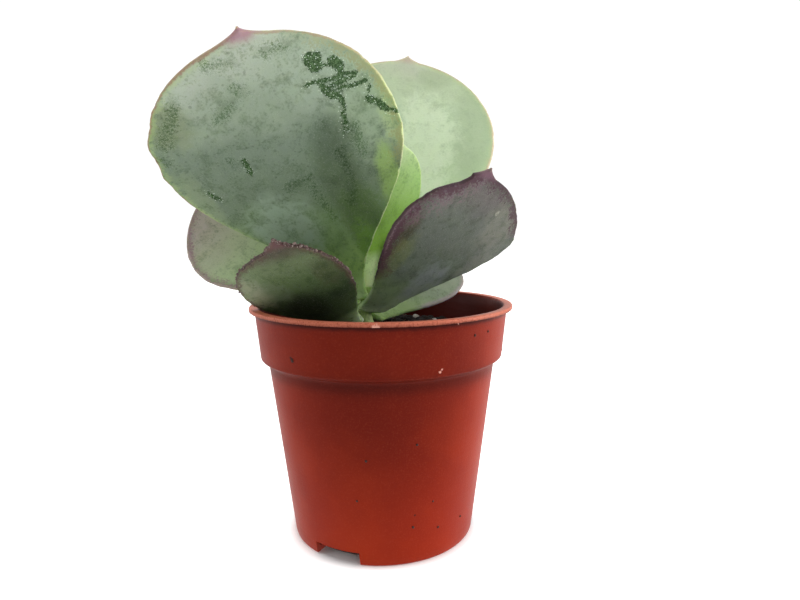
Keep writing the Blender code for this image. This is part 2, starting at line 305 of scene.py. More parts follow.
class Grower:
    """One Geometry Nodes tree with named inputs, and the plain mesh it makes.

    Args:
        name: The tree's name.
        inputs: Each named input with its value.
    """

    UPWARD = 0.6

    def __init__(self, name: str, inputs: dict[str, float | int]) -> None:
        """Start a tree with a geometry input, the named inputs and an output."""
        self.inputs = inputs
        self.tree = bpy.data.node_groups.new(name, "GeometryNodeTree")
        face = self.tree.interface
        face.new_socket("Geometry", in_out="INPUT", socket_type="NodeSocketGeometry")
        for label, value in inputs.items():
            kind = "NodeSocketInt" if isinstance(value, int) else "NodeSocketFloat"
            face.new_socket(label, in_out="INPUT", socket_type=kind)
        face.new_socket("Geometry", in_out="OUTPUT", socket_type="NodeSocketGeometry")
        self.source = self.tree.nodes.new("NodeGroupInput")
        self.sink = self.tree.nodes.new("NodeGroupOutput")

    def add(self, kind: str, links: dict[str | int, Any] | None = None, **settings: Any) -> Any:
        """Add a node.

        Args:
            kind: Blender's node type, without its GeometryNode prefix if it has one.
            links: Input names or numbers with what feeds them: a socket or a value.
            **settings: The node's own properties.

        Returns:
            The node.
        """
        full = kind if kind.startswith(("FunctionNode", "ShaderNode")) else "GeometryNode" + kind
        node = self.tree.nodes.new(full)
        for key, value in settings.items():
            setattr(node, key, value)
        for key, value in (links or {}).items():
            if hasattr(value, "is_output"):
                self.tree.links.new(value, node.inputs[key])
            else:
                node.inputs[key].default_value = value
        return node

    def given(self, label: str) -> Any:
        """The socket of a named input."""
        return self.source.outputs[label]

    def math(self, operation: str, *terms: Any) -> Any:
        """The socket of one arithmetic step."""
        return self.add("ShaderNodeMath", dict(enumerate(terms)), operation=operation).outputs[0]

    def vector(self, x: Any = 0.0, y: Any = 0.0, z: Any = 0.0) -> Any:
        """The socket of a vector made of three numbers."""
        return self.add("ShaderNodeCombineXYZ", {0: x, 1: y, 2: z}).outputs[0]

    def strewn(self) -> Any:
        """Points on the host's faces that look up, within Reach of the Z axis."""
        normal = self.add("ShaderNodeSeparateXYZ", {0: self.add("InputNormal").outputs[0]})
        place = self.add("InputPosition").outputs[0]
        level = self.add("ShaderNodeVectorMath", {0: place, 1: (1.0, 1.0, 0.0)}, operation="MULTIPLY")
        away = self.add("ShaderNodeVectorMath", {0: level.outputs[0]}, operation="LENGTH")
        upward = self.math("GREATER_THAN", normal.outputs[2], self.UPWARD)
        within = self.math("LESS_THAN", away.outputs["Value"], self.given("Reach"))
        points = self.add("DistributePointsOnFaces",
                          {"Mesh": self.given("Geometry"), "Selection": self.math("MULTIPLY", upward, within),
                           "Density": self.given("Per area"), "Seed": self.given("Seed")})
        return points.outputs[0]

    def finish(self, geometry: Any, finish: bpy.types.Material) -> None:
        """End the tree: real geometry, with its material.

        Args:
            geometry: The socket to end with.
            finish: The material that all of it takes.
        """
        real = self.add("RealizeInstances", {"Geometry": geometry})
        smooth = self.add("SetShadeSmooth", {"Geometry": real.outputs[0]})
        dressed = self.add("SetMaterial", {"Geometry": smooth.outputs[0]})
        dressed.inputs["Material"].default_value = finish
        self.tree.links.new(dressed.outputs[0], self.sink.inputs[0])

    def harvest(self, host: bpy.types.Object, name: str) -> bpy.types.Object:
        """Run the tree on a host object and keep the result as a plain mesh.

        Args:
            host: The object it grows on, which is removed afterwards.
            name: The new piece's name.

        Returns:
            The new piece, at the origin.
        """
        modifier = host.modifiers.new("grow", "NODES")
        modifier.node_group = self.tree
        for item in self.tree.interface.items_tree:
            if item.in_out == "INPUT" and item.name in self.inputs:
                modifier[item.identifier] = self.inputs[item.name]
        graph = bpy.context.evaluated_depsgraph_get()
        mesh = bpy.data.meshes.new_from_object(host.evaluated_get(graph))
        mesh.name = name
        host.modifiers.remove(modifier)
        bpy.data.objects.remove(host, do_unlink=True)
        piece = bpy.data.objects.new(name, mesh)
        bpy.context.scene.collection.objects.link(piece)
        return piece


# -------------------------------------------------------------------- meshes


def mesh_piece(name: str, points: np.ndarray, faces: Sequence[Sequence[int]],
               finish: bpy.types.Material | None = None) -> bpy.types.Object:
    """Make a smooth piece from points in millimetres.

    Args:
        name: The piece's name.
        points: One row per vertex.
        faces: Vertex numbers of each face, turning outwards.
        finish: Its material, if it is shown.

    Returns:
        The piece, at the origin.
    """
    mesh = bpy.data.meshes.new(name)
    mesh.from_pydata((np.asarray(points) * MM).tolist(), [], [list(face) for face in faces])
    mesh.polygons.foreach_set("use_smooth", [True] * len(mesh.polygons))
    if finish is not None:
        mesh.materials.append(finish)
    mesh.update()
    piece = bpy.data.objects.new(name, mesh)
    bpy.context.scene.collection.objects.link(piece)
    return piece


def loft_faces(rings: int, around: int) -> list[tuple[int, ...]]:
    """Faces that join equal rings of vertices into one skin, closed at both ends.

    Args:
        rings: How many rings.
        around: Vertices in each.

    Returns:
        The faces' vertex numbers.
    """
    faces: list[tuple[int, ...]] = []
    for ring in range(rings - 1):
        for i in range(around):
            j = (i + 1) % around
            low, high = ring * around, (ring + 1) * around
            faces.append((low + i, low + j, high + j, high + i))
    faces.append(tuple(reversed(range(around))))
    faces.append(tuple(range((rings - 1) * around, rings * around)))
    return faces


def carry(piece: bpy.types.Object, name: str, values: np.ndarray) -> None:
    """Give a mesh one number at each vertex.

    Args:
        piece: The piece.
        name: The attribute's name.
        values: One number per vertex.
    """
    layer = piece.data.attributes.new(name, "FLOAT", "POINT")
    layer.data.foreach_set("value", np.asarray(values, np.float32))


def settle(piece: bpy.types.Object, slot: str, *nodes: str) -> None:
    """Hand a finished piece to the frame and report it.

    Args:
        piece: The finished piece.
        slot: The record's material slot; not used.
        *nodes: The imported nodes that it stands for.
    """
    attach(piece, "root")
    if nodes:
        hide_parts(*nodes)
    LOG.info("%s: %d faces, stands for %s", piece.name, len(piece.data.polygons), nodes or "itself")


def wave(x: float, y: float, z: float = 0.0) -> float:
    """Smooth noise from about -1 to 1."""
    return noise.noise(Vector((x, y, z)))


# ---------------------------------------------------------------------- leaf


@dataclass(frozen=True)
class Stroke:
    """A mark on the blade, along a line of (run, reach) points, with its width."""

    line: tuple[Spot, ...]
    width: float

    def distance(self, run: np.ndarray, reach: np.ndarray) -> np.ndarray:
        """Distance from the mark's edge, negative inside it.

        Args:
            run: Distances along the midrib.
            reach: Distances across it.

        Returns:
            One distance per point.
        """
        best = np.full(run.shape, 1e3)
        ends = zip(self.line, self.line[1:]) if len(self.line) > 1 else [(self.line[0], self.line[0])]
        for (x0, y0), (x1, y1) in ends:
            dx, dy = x1 - x0, y1 - y0
            length = max(dx * dx + dy * dy, 1e-9)
            share = np.clip(((run - x0) * dx + (reach - y0) * dy) / length, 0, 1)
            best = np.minimum(best, np.hypot(run - x0 - share * dx, reach - y0 - share * dy))
        return best - self.width / 2


@dataclass(frozen=True)
class Patch:
    """A soft tint round a point of the blade: (run, reach), half lengths and colour."""

    spot: Spot
    size: Spot
    colour: Colour
    strength: float = 0.7
    ragged: float = 0.6
    face: Face = Face.UNDER


@dataclass(frozen=True)
class Rim:
    """A tint that follows the margin."""

    colour: Colour
    width: float
    strength: float = 0.7
    half: Half = Half.BOTH
    start: float = 0.0
    end: float = 1.2
    ragged: float = 0.5


@dataclass(frozen=True)
class Nick:
    """A dip in the margin at a run, on one half, with its depth and half length."""

    run: float
    half: Half
    depth: float
    long: float


@dataclass(frozen=True)
class LeafSkin:
    """The finish of one leaf: flesh colours under a powdery bloom, and its marks.

    Under and upper list the colours from butt to apex on the two faces.
    """

    under: tuple[tuple[float, Colour], ...]
    upper: tuple[tuple[float, Colour], ...]
    shade: Colour = (0.48, 0.56, 0.42)
    mottling: float = 0.45
    speck_colour: Colour = tone(40, 50, 30)
    specks: float = 0.25
    pits: float = 0.36
    rims: tuple[Rim, ...] = ()
    patches: tuple[Patch, ...] = ()
    point_colour: Colour = tone(120, 80, 95)
    rub_colour: Colour = tone(30, 60, 16)
    thin_colour: Colour = tone(96, 126, 84)
    flesh: float = 0.4
    roughness: float = 0.62
    relief: float = 0.07

    def material(self, name: str, length: float) -> bpy.types.Material:
        """Build the finish's material.

        Args:
            name: The material's name.
            length: The blade's length.

        Returns:
            The material.
        """
        g = Graph(name)
        run, reach = g.attribute("run"), g.attribute("reach")
        rim, face = g.attribute("rim"), g.attribute("face")
        cloud, mottle = g.noise(0.09, 3.0), g.noise(0.42, 4.0, 0.6, 0.4)
        grain, fine = g.noise(2.4, 3.0, 0.6), g.noise(7.0, 2.0)
        share = g.frayed(g.scaled(run, 1 / length), cloud, 0.24)
        front = g.ramp(share, self.under)
        back = g.ramp(share, self.upper)
        for patch in self.patches:
            mask = self._patch_mask(g, patch, run, reach, mottle, grain)
            if patch.face is Face.UNDER:
                front = g.mix(mask, front, patch.colour)
            else:
                back = g.mix(mask, back, patch.colour)
        colour = g.mix(g.step(face, -0.2, 0.2), front, back)
        blot = g.step(g.frayed(mottle, grain, 0.5), 0.44, 0.72)
        colour = g.darken(g.scaled(blot, self.mottling), colour, self.shade)
        pitted = g.step(g.frayed(grain, mottle, 0.5), 0.52, 0.72)
        colour = g.darken(g.scaled(pitted, self.pits), colour, (0.45, 0.5, 0.42))
        powder = g.step(g.frayed(fine, grain, 0.6), 0.5, 0.8)
        colour = g.mix(g.scaled(powder, 0.16), colour, tone(205, 215, 200))
        for edge in self.rims:
            mask = self._rim_mask(g, edge, run, reach, rim, mottle, grain, length)
            colour = g.mix(mask, colour, edge.colour)
        dots = g.math("SUBTRACT", g.cells(0.55), g.scaled(cloud, 0.2, -0.06))
        dot_mask = g.step(dots, 0.04, 0.13, self.specks, 0.0)
        colour = g.mix(dot_mask, colour, self.speck_colour)
        tip = g.step(g.frayed(run, mottle, 1.6), length - 1.2, length + 0.5)
        near_tip = g.step(g.math("ABSOLUTE", reach), 1.0, 3.6, 1.0, 0.0)
        colour = g.mix(g.scaled(g.times(tip, near_tip), 0.85), colour, self.point_colour)
        colour, rubbed = self._rubbed(g, colour, mottle, grain, fine)
        g.fix("Base Color", colour)
        rough = g.scaled(grain, 0.14, self.roughness - 0.07)
        g.fix("Roughness", g.math("SUBTRACT", rough, g.scaled(rubbed, 0.22)))
        g.fix("Specular IOR Level", 0.22)
        g.fix("Subsurface Weight", self.flesh)
        g.fix("Subsurface Radius", (1.0, 1.5, 0.35))
        g.fix("Subsurface Scale", 1.6 * MM)
        height = g.math("ADD", g.scaled(grain, 0.5), g.scaled(fine, 0.3))
        height = g.math("ADD", height, g.scaled(mottle, 0.9))
        g.bump(g.math("SUBTRACT", height, g.scaled(rubbed, 0.35)), self.relief)
        return g.material

    def _patch_mask(self, g: Graph, patch: Patch, run: Any, reach: Any, mottle: Any, grain: Any) -> Any:
        """Where one soft tint shows.

        Args:
            g: The material being built.
            patch: The tint.
            run: Distance along the midrib.
            reach: Distance across it.
            mottle: Medium noise.
            grain: Fine noise.

        Returns:
            The mask's socket.
        """
        along = g.scaled(run, 1 / patch.size[0], -patch.spot[0] / patch.size[0])
        across = g.scaled(reach, 1 / patch.size[1], -patch.spot[1] / patch.size[1])
        away = g.math("SQRT", g.math("ADD", g.times(along, along), g.times(across, across)))
        away = g.frayed(g.frayed(away, mottle, patch.ragged * 1.4), grain, patch.ragged * 0.5)
        return g.step(away, 0.45, 1.1, patch.strength, 0.0)

    def _rim_mask(self, g: Graph, edge: Rim, run: Any, reach: Any, rim: Any, mottle: Any, grain: Any,
                  length: float) -> Any:
        """Where one tint shows along the margin.

        Args:
            g: The material being built.
            edge: The tint.
            run: Distance along the midrib.
            reach: Distance across it.
            rim: Distance from the margin.
            mottle: Medium noise.
            grain: Fine noise.
            length: The blade's length.

        Returns:
            The mask's socket.
        """
        spread = edge.width * edge.ragged * 2.4
        away = g.frayed(g.frayed(rim, mottle, spread), grain, spread)
        mask = g.step(away, edge.width * 0.3, edge.width * 1.3, edge.strength, 0.0)
        share = g.scaled(run, 1 / length)
        mask = g.times(mask, g.step(share, edge.start - 0.06, edge.start + 0.06))
        mask = g.times(mask, g.step(share, edge.end - 0.06, edge.end + 0.06, 1.0, 0.0))
        if edge.half is not Half.BOTH:
            side = g.scaled(reach, float(edge.half.value))
            mask = g.times(mask, g.step(side, -0.8, 0.8))
        return mask

    def _rubbed(self, g: Graph, colour: Any, mottle: Any, grain: Any, fine: Any) -> tuple[Any, Any]:
        """Marks where the bloom is rubbed or smeared off, with loose white flecks.

        Args:
            g: The material being built.
            colour: The colour so far.
            mottle: Medium noise.
            grain: Fine noise.
            fine: Finest noise.

        Returns:
            The new colour and the rubbed share.
        """
        rough_edge = g.frayed(g.scaled(grain, 1.1, -0.55), fine, 0.9)
        rub = g.math("ADD", g.attribute("rubbed"), rough_edge)
        rubbed = g.step(rub, -0.02, 0.16, 0.96, 0.0)
        smear = g.math("ADD", g.attribute("smeared"), g.scaled(mottle, 3.4, -1.5))
        smear = g.math("ADD", smear, g.scaled(rough_edge, 2.6))
        smeared = g.step(smear, -0.6, 0.9, 0.85, 0.0)
        stippled = g.step(g.frayed(fine, grain, 1.0), 0.38, 0.6, 1.0, 0.35)
        colour = g.darken(g.times(smeared, stippled), colour, (0.24, 0.36, 0.2))
        bare = g.mix(g.step(g.frayed(fine, grain, 0.8), 0.42, 0.7), self.rub_colour,
                     self.thin_colour)
        colour = g.mix(rubbed, colour, bare)
        loose = g.step(g.cells(2.3), 0.14, 0.24, 1.0, 0.0)
        beside = g.step(g.attribute("rubbed"), 0.2, 0.9, 0.75, 0.0)
        colour = g.mix(g.times(loose, beside), colour, tone(222, 235, 218))
        return colour, rubbed


@dataclass
class Leaf:
    """One fleshy leaf: where it springs from, how it leans, its shape and its finish.

    Angles are degrees. The heading is measured round Z from +X. Lopside widens the
    left half. Clasp is the radius to which the right half is folded at the butt.
    Lean carries the apex over to the left.
    """

    node: str
    slot: str
    skin: LeafSkin
    heading: float
    rise: float
    length: float
    width: float
    start: float = 0.0
    droop: float = 0.0
    sweep: float = 0.0
    roll: float = 0.0
    twist: float = 0.0
    widest: float = 0.63
    butt: float = 0.18
    waist: float = 1.5
    apex: float = 2.1
    cup: float = 8.0
    lopside: float = 0.0
    clasp: float = 0.0
    buckle: float = 0.35
    scallop: float = 0.16
    point_wide: float = 5.2
    lean: float = 0.0
    seed: int = 1
    nicks: tuple[Nick, ...] = ()
    rubs: tuple[Stroke, ...] = ()
    smears: tuple[Stroke, ...] = ()
    stations: int = 150
    side_points: int = 46

    FAR = 50.0
    POINT_STATIONS = 14
    MIDRIB_STEPS = 600
    BUTT_THICK = 2.0
    BLADE_THICK = 2.3
    APEX_THICK = 1.1
    MARGIN_THICK = 0.8
    POINT_LONG = 1.6
    POINT_TIP = 0.35
    HOLDS_TO = 0.12
    OPENS_BY = 0.36
    LEFT_HOLD = 0.3
    LEAN_FROM = 0.8
    RIM_FROM = 2.0

    def runs(self) -> np.ndarray:
        """Distances along the midrib, closer together towards the apex."""
        share = np.linspace(0, 1, self.stations)
        blade = self.start + (self.length - self.start) * (1 - (1 - share) ** 1.9)
        point = self.length + self.POINT_LONG * np.linspace(0.08, 1, self.POINT_STATIONS)
        return np.concatenate([blade, point])

    def midrib(self, runs: np.ndarray) -> tuple[np.ndarray, np.ndarray, np.ndarray]:
        """Follow the midrib from the butt.

        Args:
            runs: Distances along it.

        Returns:
            Points, leftward directions and upper-face directions, one row each.
        """
        fine = np.linspace(0, self.length + self.POINT_LONG, self.MIDRIB_STEPS)
        share = np.minimum(fine / self.length, 1)
        rise = np.radians(self.rise - self.droop * share)
        turn = np.radians(self.heading + self.sweep * share)
        ahead = np.stack([np.cos(rise) * np.cos(turn), np.cos(rise) * np.sin(turn), np.sin(rise)], 1)
        steps = (ahead[1:] + ahead[:-1]) / 2 * (fine[1] - fine[0])
        points = np.vstack([np.zeros(3), np.cumsum(steps, 0)])
        left = np.stack([-np.sin(turn), np.cos(turn), np.zeros_like(turn)], 1)
        upper = np.cross(ahead, left)
        roll = np.radians(self.roll + self.twist * share)[:, None]
        across = left * np.cos(roll) + upper * np.sin(roll)
        face = upper * np.cos(roll) - left * np.sin(roll)

        def at(table: np.ndarray) -> np.ndarray:
            """Read a table at the asked distances."""
            return np.stack([np.interp(runs, fine, table[:, k]) for k in range(3)], 1)

        return at(points), at(across), at(face)

    def half_width(self, run: float, side: int) -> float:
        """Half the blade's width on one side, with its scalloped, nicked margin.

        Args:
            run: Distance along the midrib.
            side: 1 for the left half, -1 for the right.

        Returns:
            The distance from midrib to margin.
        """
        share = run / self.length
        to_go = min(1.25, max(0.0, (self.length + self.POINT_LONG - run) / self.POINT_LONG))
        tooth = (self.POINT_TIP + (self.point_wide - self.POINT_TIP) * to_go ** 1.7) / 2
        if share < self.widest:
            rise = math.sin(share / self.widest * math.pi / 2) ** self.waist
            blade = self.width / 2 * (self.butt + (1 - self.butt) * rise)
        else:
            fall = min(1.0, (share - self.widest) / (1 - self.widest))
            blade = self.width / 2 * math.sqrt(1 - fall ** self.apex)
        blade *= 1 + self.lopside * side * min(1.0, share * 2)
        bite = wave(run * 0.42, side * 3.1, self.seed) + 0.6 * wave(run * 1.3, side, self.seed)
        bite *= self.scallop
        for nick in self.nicks:
            if nick.half.value == side:
                bite -= nick.depth * math.exp(-((run - nick.run) / nick.long) ** 2)
        blade += bite * min(1.0, blade / 3.0)
        return max(blade, tooth if share > 0.9 else 0.3)

    def bend(self, share: float, side: int) -> float:
        """How sharply the blade curves from midrib to margin, as one over its radius."""
        flat = math.radians(self.cup) * 2 / self.width
        if not self.clasp:
            return flat
        opened = min(1.0, max(0.0, (share - self.HOLDS_TO) / (self.OPENS_BY - self.HOLDS_TO)))
        hold = 1.0 if side < 0 else self.LEFT_HOLD
        return flat + hold * (1 - opened * opened * (3 - 2 * opened)) / self.clasp

    def thickness(self, share: float) -> float:
        """Thickness on the midrib at a share of the length."""
        share = min(1.0, share)
        body = self.BUTT_THICK + (self.BLADE_THICK - self.BUTT_THICK) * share
        return self.APEX_THICK + (body - self.APEX_THICK) * (1 - share ** 3)

    def section(self) -> list[tuple[float, float]]:
        """Side and lift of each vertex round a cross-section, both as shares."""
        count = self.side_points
        across = [math.sin(math.pi / 2 * (1 - 2 * i / (count - 1))) for i in range(count)]
        upper = [(side, 1.0) for side in across[1:-1]]
        lower = [(side, -1.0) for side in reversed(across[1:-1])]
        return [(1.0, 0.0)] + upper + [(-1.0, 0.0)] + lower

    def build(self) -> bpy.types.Object:
        """Make the blade's skin with its coordinates, and put it where its node is.

        Returns:
            The finished leaf.
        """
        runs = self.runs()
        points, across, face = self.midrib(runs)
        section = self.section()
        rows: list[np.ndarray] = []
        reach: list[float] = []
        faces_of: list[float] = []
        for index, run in enumerate(runs):
            share = run / self.length
            halves = {side: self.half_width(run, side) for side in (1, -1)}
            full = self.thickness(share)
            aside = self.lean * max(0.0, (share - self.LEAN_FROM) / (1 - self.LEAN_FROM)) ** 2
            for side, lift in section:
                sign = 1 if side >= 0 else -1
                half = halves[sign]
                edge = min(self.MARGIN_THICK / 2, half * 0.45)
                crown = max(min(full / 2, half * 0.9), edge)
                bend = self.bend(share, sign)
                arc = side * half
                angle = arc * bend
                out = across[index] * (math.sin(angle) / bend + aside)
                out = out + face[index] * (1 - math.cos(angle)) / bend
                up = face[index] * math.cos(angle) - across[index] * math.sin(angle)
                inset = half * (1 - abs(side))
                round_off = math.sqrt(max(0.0, 1 - (1 - min(1.0, inset / edge)) ** 2))
                raised = (edge + (crown - edge) * (1 - side * side)) * round_off * lift
                raised += self.swell(run, arc) * min(1.0, inset / 3 + 0.35)
                rows.append(points[index] + out + up * raised)
                reach.append(arc)
                faces_of.append(lift)
        vertices = np.array(rows)
        around = len(section)
        low, high = (np.array(corner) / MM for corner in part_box(self.node))
        vertices += (low + high) / 2 - (vertices.max(0) + vertices.min(0)) / 2
        piece = mesh_piece(self.node + "_blade", vertices, loft_faces(len(runs), around),
                           self.skin.material(self.node + "_skin", self.length))
        run_at = np.repeat(runs, around)
        reach_at = np.array(reach)
        carry(piece, "run", run_at)
        carry(piece, "reach", reach_at)
        carry(piece, "face", np.array(faces_of))
        carry(piece, "rim", self.margin_distance(runs, run_at, reach_at))
        upper = (np.array(faces_of) > 0.5) * self.FAR
        for name, marks in (("rubbed", self.rubs), ("smeared", self.smears)):
            near = np.full(run_at.shape, self.FAR)
            for mark in marks:
                near = np.minimum(near, mark.distance(run_at, reach_at))
            carry(piece, name, near + upper)
        return piece

    def swell(self, run: float, arc: float) -> float:
        """Soft buckles of the blade's surface."""
        broad = wave(run * 0.07, arc * 0.08, self.seed * 2.3)
        small = wave(run * 0.22, arc * 0.2, self.seed * 1.7)
        return self.buckle * (broad + 0.35 * small) * min(1.0, run / 12)

    def margin_distance(self, runs: np.ndarray, run_at: np.ndarray, reach_at: np.ndarray) -> np.ndarray:
        """Distance of each vertex from the blade's outline.

        Args:
            runs: The stations.
            run_at: Each vertex's run.
            reach_at: Each vertex's reach.

        Returns:
            One distance per vertex.
        """
        outline = np.array([(run, side * self.half_width(run, side))
                            for side in (1, -1) for run in runs[runs > self.RIM_FROM]])
        away = np.full(run_at.shape, 1e3)
        for run, arc in outline:
            away = np.minimum(away, np.hypot(run_at - run, reach_at - arc))
        return away


# ---------------------------------------------------------------- small grains


class Grains(Grower):
    """Small rough grains, one at each vertex of a host or strewn on its upward faces.

    Args:
        name: The tree's name.
        finish: The grains' material.
        smallest: Smallest radius in millimetres.
        largest: Largest radius.
        flatness: Height of a grain as a share of its breadth.
        rough: How far its surface is pushed about, in millimetres.
        strewn: Grains per square millimetre, or 0 for one at each vertex.
        seed: Seed for all that is random.
        fine: Subdivisions of a grain.
        reach: How far from the Z axis strewn grains may lie.
    """

    def __init__(self, name: str, finish: bpy.types.Material, smallest: float, largest: float,
                 flatness: float = 1.0, rough: float = 0.3, strewn: float = 0.0, seed: int = 1,
                 fine: int = 2, reach: float = 100.0) -> None:
        """Build the tree."""
        super().__init__(name, {"Smallest": smallest * MM, "Largest": largest * MM,
                                "Flatness": flatness, "Rough": rough * MM, "Reach": reach * MM,
                                "Per area": strewn / MM ** 2, "Seed": seed})
        if strewn:
            points = self.strewn()
        else:
            points = self.add("MeshToPoints", {"Mesh": self.given("Geometry")}).outputs[0]
        ball = self.add("MeshIcoSphere", {"Radius": 1.0, "Subdivisions": fine})
        turn = self.add("FunctionNodeRandomValue", {1: (math.tau,) * 3, "Seed": self.given("Seed")},
                        data_type="FLOAT_VECTOR")
        size = self.add("FunctionNodeRandomValue",
                        {2: self.given("Smallest"), 3: self.given("Largest"), "Seed": self.given("Seed")},
                        data_type="FLOAT")
        flat = self.vector(1.0, 0.8, self.given("Flatness"))
        shape = self.add("ShaderNodeVectorMath", {0: flat, 3: size.outputs[1]}, operation="SCALE")
        placed = self.add("InstanceOnPoints", {"Points": points, "Instance": ball.outputs[0],
                                               "Rotation": turn.outputs[0], "Scale": shape.outputs[0]})
        real = self.add("RealizeInstances", {"Geometry": placed.outputs[0]})
        lumps = self.add("ShaderNodeTexNoise", {"Scale": 900.0, "Detail": 2.0})
        centred = self.add("ShaderNodeVectorMath", {0: lumps.outputs["Color"], 1: (0.5, 0.5, 0.5)},
                           operation="SUBTRACT")
        push = self.add("ShaderNodeVectorMath", {0: centred.outputs[0], 3: self.given("Rough")},
                        operation="SCALE")
        moved = self.add("SetPosition", {"Geometry": real.outputs[0], "Offset": push.outputs[0]})
        self.finish(moved.outputs[0], finish)


def twin_of(piece: bpy.types.Object) -> bpy.types.Object:
    """A second object with the same mesh, for a tree to run on."""
    host = bpy.data.objects.new("twin_host", piece.data)
    bpy.context.scene.collection.objects.link(host)
    return host


def host_of(points: Sequence[Sequence[float]]) -> bpy.types.Object:
    """A bare set of vertices for grains to sit on.

    Args:
        points: Their places in millimetres.

    Returns:
        The host.
    """
    return mesh_piece("grain_host", np.array(points), [])


# ------------------------------------------------------------------------- pot


def on_wall(heading: float, radius: float, height: float) -> tuple[float, float, float]:
    """The place at a heading in degrees, a radius and a height."""
    angle = math.radians(heading)
    return radius * math.cos(angle), radius * math.sin(angle), height


@dataclass(frozen=True)
class PotPlastic:
    """The finish of the pot: thin terracotta-red plastic, satin, a little scuffed.

    Front is what is kept of the colour on the front, a painted shade that darkens the pot's front.
    A stain or a pale spot has a heading in degrees, a height, a radius and a size.
    """

    body: Colour = tone(150, 39, 7)
    deep: Colour = tone(138, 32, 5)
    front: Colour = (0.5, 0.44, 0.4)
    # The lip's lighter colour: partly wear and partly painted highlight.
    lip: Colour = tone(212, 124, 98)
    # Painted shade of the inner wall.
    inside: Colour = tone(86, 28, 20)
    scuff: Colour = tone(190, 84, 56)
    dirt: Colour = tone(58, 22, 16)
    pale_spot_colour: Colour = tone(222, 160, 142)
    roughness: float = 0.4
    shine: float = 0.09
    stains: tuple[tuple[float, float, float, float], ...] = (
        (230.5, 40.8, 25.7, 0.6), (230.0, 41.2, 25.7, 0.35), (286.5, 10.5, 20.6, 0.3))
    pale_spots: tuple[tuple[float, float, float, float], ...] = (
        (268.3, 47.95, 27.4, 0.7), (267.2, 47.9, 27.4, 0.5), (293.7, 39.0, 25.5, 0.35),
        (294.6, 39.4, 25.5, 0.25), (301.0, 47.7, 26.6, 0.4))

    def material(self) -> bpy.types.Material:
        """Build the plastic.

        Returns:
            The material.
        """
        g = Graph("pot_plastic")
        cloud, grain = g.noise(0.06, 3.0), g.noise(3.2, 3.0, 0.6)
        streak = g.noise(1.0, 3.0, 0.6, 0.0, (0.9, 0.9, 0.05))
        level = g.noise(1.0, 2.0, 0.5, 0.0, (0.04, 0.04, 2.2))
        colour = g.mix(g.step(cloud, 0.35, 0.65), self.body, self.deep)
        colour = g.mix(g.step(streak, 0.52, 0.75, 0.0, 0.22), colour, self.deep)
        _, depth, height = g.axes()
        # Painted shade: the pot's front is darkened from near its foot upwards, where the leaves shade it.
        painted_front_shade = g.times(g.step(depth, -25.0, -8.0, 1.0, 0.0), g.step(height, 2.0, 30.0))
        colour = g.darken(painted_front_shade, colour, self.front)
        colour = g.mix(g.scaled(g.step(grain, 0.46, 0.8), 0.12), colour, self.scuff)
        # Partly wear, partly painted highlight: the lip's top and a thin line on the band's foot edge are
        # painted lighter.
        lip_wear_and_highlight = g.math("ADD", g.attribute("lip"), g.scaled(grain, 1.5, -0.85))
        colour = g.mix(g.step(lip_wear_and_highlight, 0.3, 1.0, 0.0, 0.85), colour, self.lip)
        # Painted shadow: dark under the lip's overhang and under the band's step.
        colour = g.darken(g.attribute("painted_ledge_shadow"), colour, (0.22, 0.16, 0.14))
        # Painted shade: the inner wall is darker and browner, for the shade inside the pot.
        colour = g.mix(g.attribute("inside"), colour, self.inside)
        specks = g.step(g.math("ADD", g.cells(0.34), g.scaled(grain, 0.06)), 0.045, 0.065, 0.7, 0.0)
        colour = g.mix(specks, colour, self.dirt)
        scratch = g.cells(0.16, (1.0, 1.0, 0.12))
        scratch = g.step(g.math("ADD", scratch, g.scaled(grain, 0.04)), 0.030, 0.045, 0.4, 0.0)
        colour = g.mix(scratch, colour, self.scuff)
        # Pale spots on the rim and band, and dark stains, painted at listed places.
        for marks, tint in ((self.pale_spots, self.pale_spot_colour), (self.stains, self.dirt)):
            for heading, height, radius, size in marks:
                away = g.near(on_wall(heading, radius, height))
                away = g.frayed(away, grain, size * 2.0)
                colour = g.mix(g.step(away, size * 0.5, size * 0.9, 0.85, 0.0), colour, tint)
        g.fix("Base Color", colour)
        rough = g.scaled(grain, 0.16, self.roughness - 0.08)
        g.fix("Roughness", g.frayed(rough, cloud, 0.12))
        g.fix("Specular IOR Level", self.shine)
        height = g.math("ADD", g.scaled(grain, 0.45), g.scaled(level, 0.5))
        height = g.math("ADD", height, g.scaled(streak, 0.35))
        g.bump(height, 0.05)
        return g.material


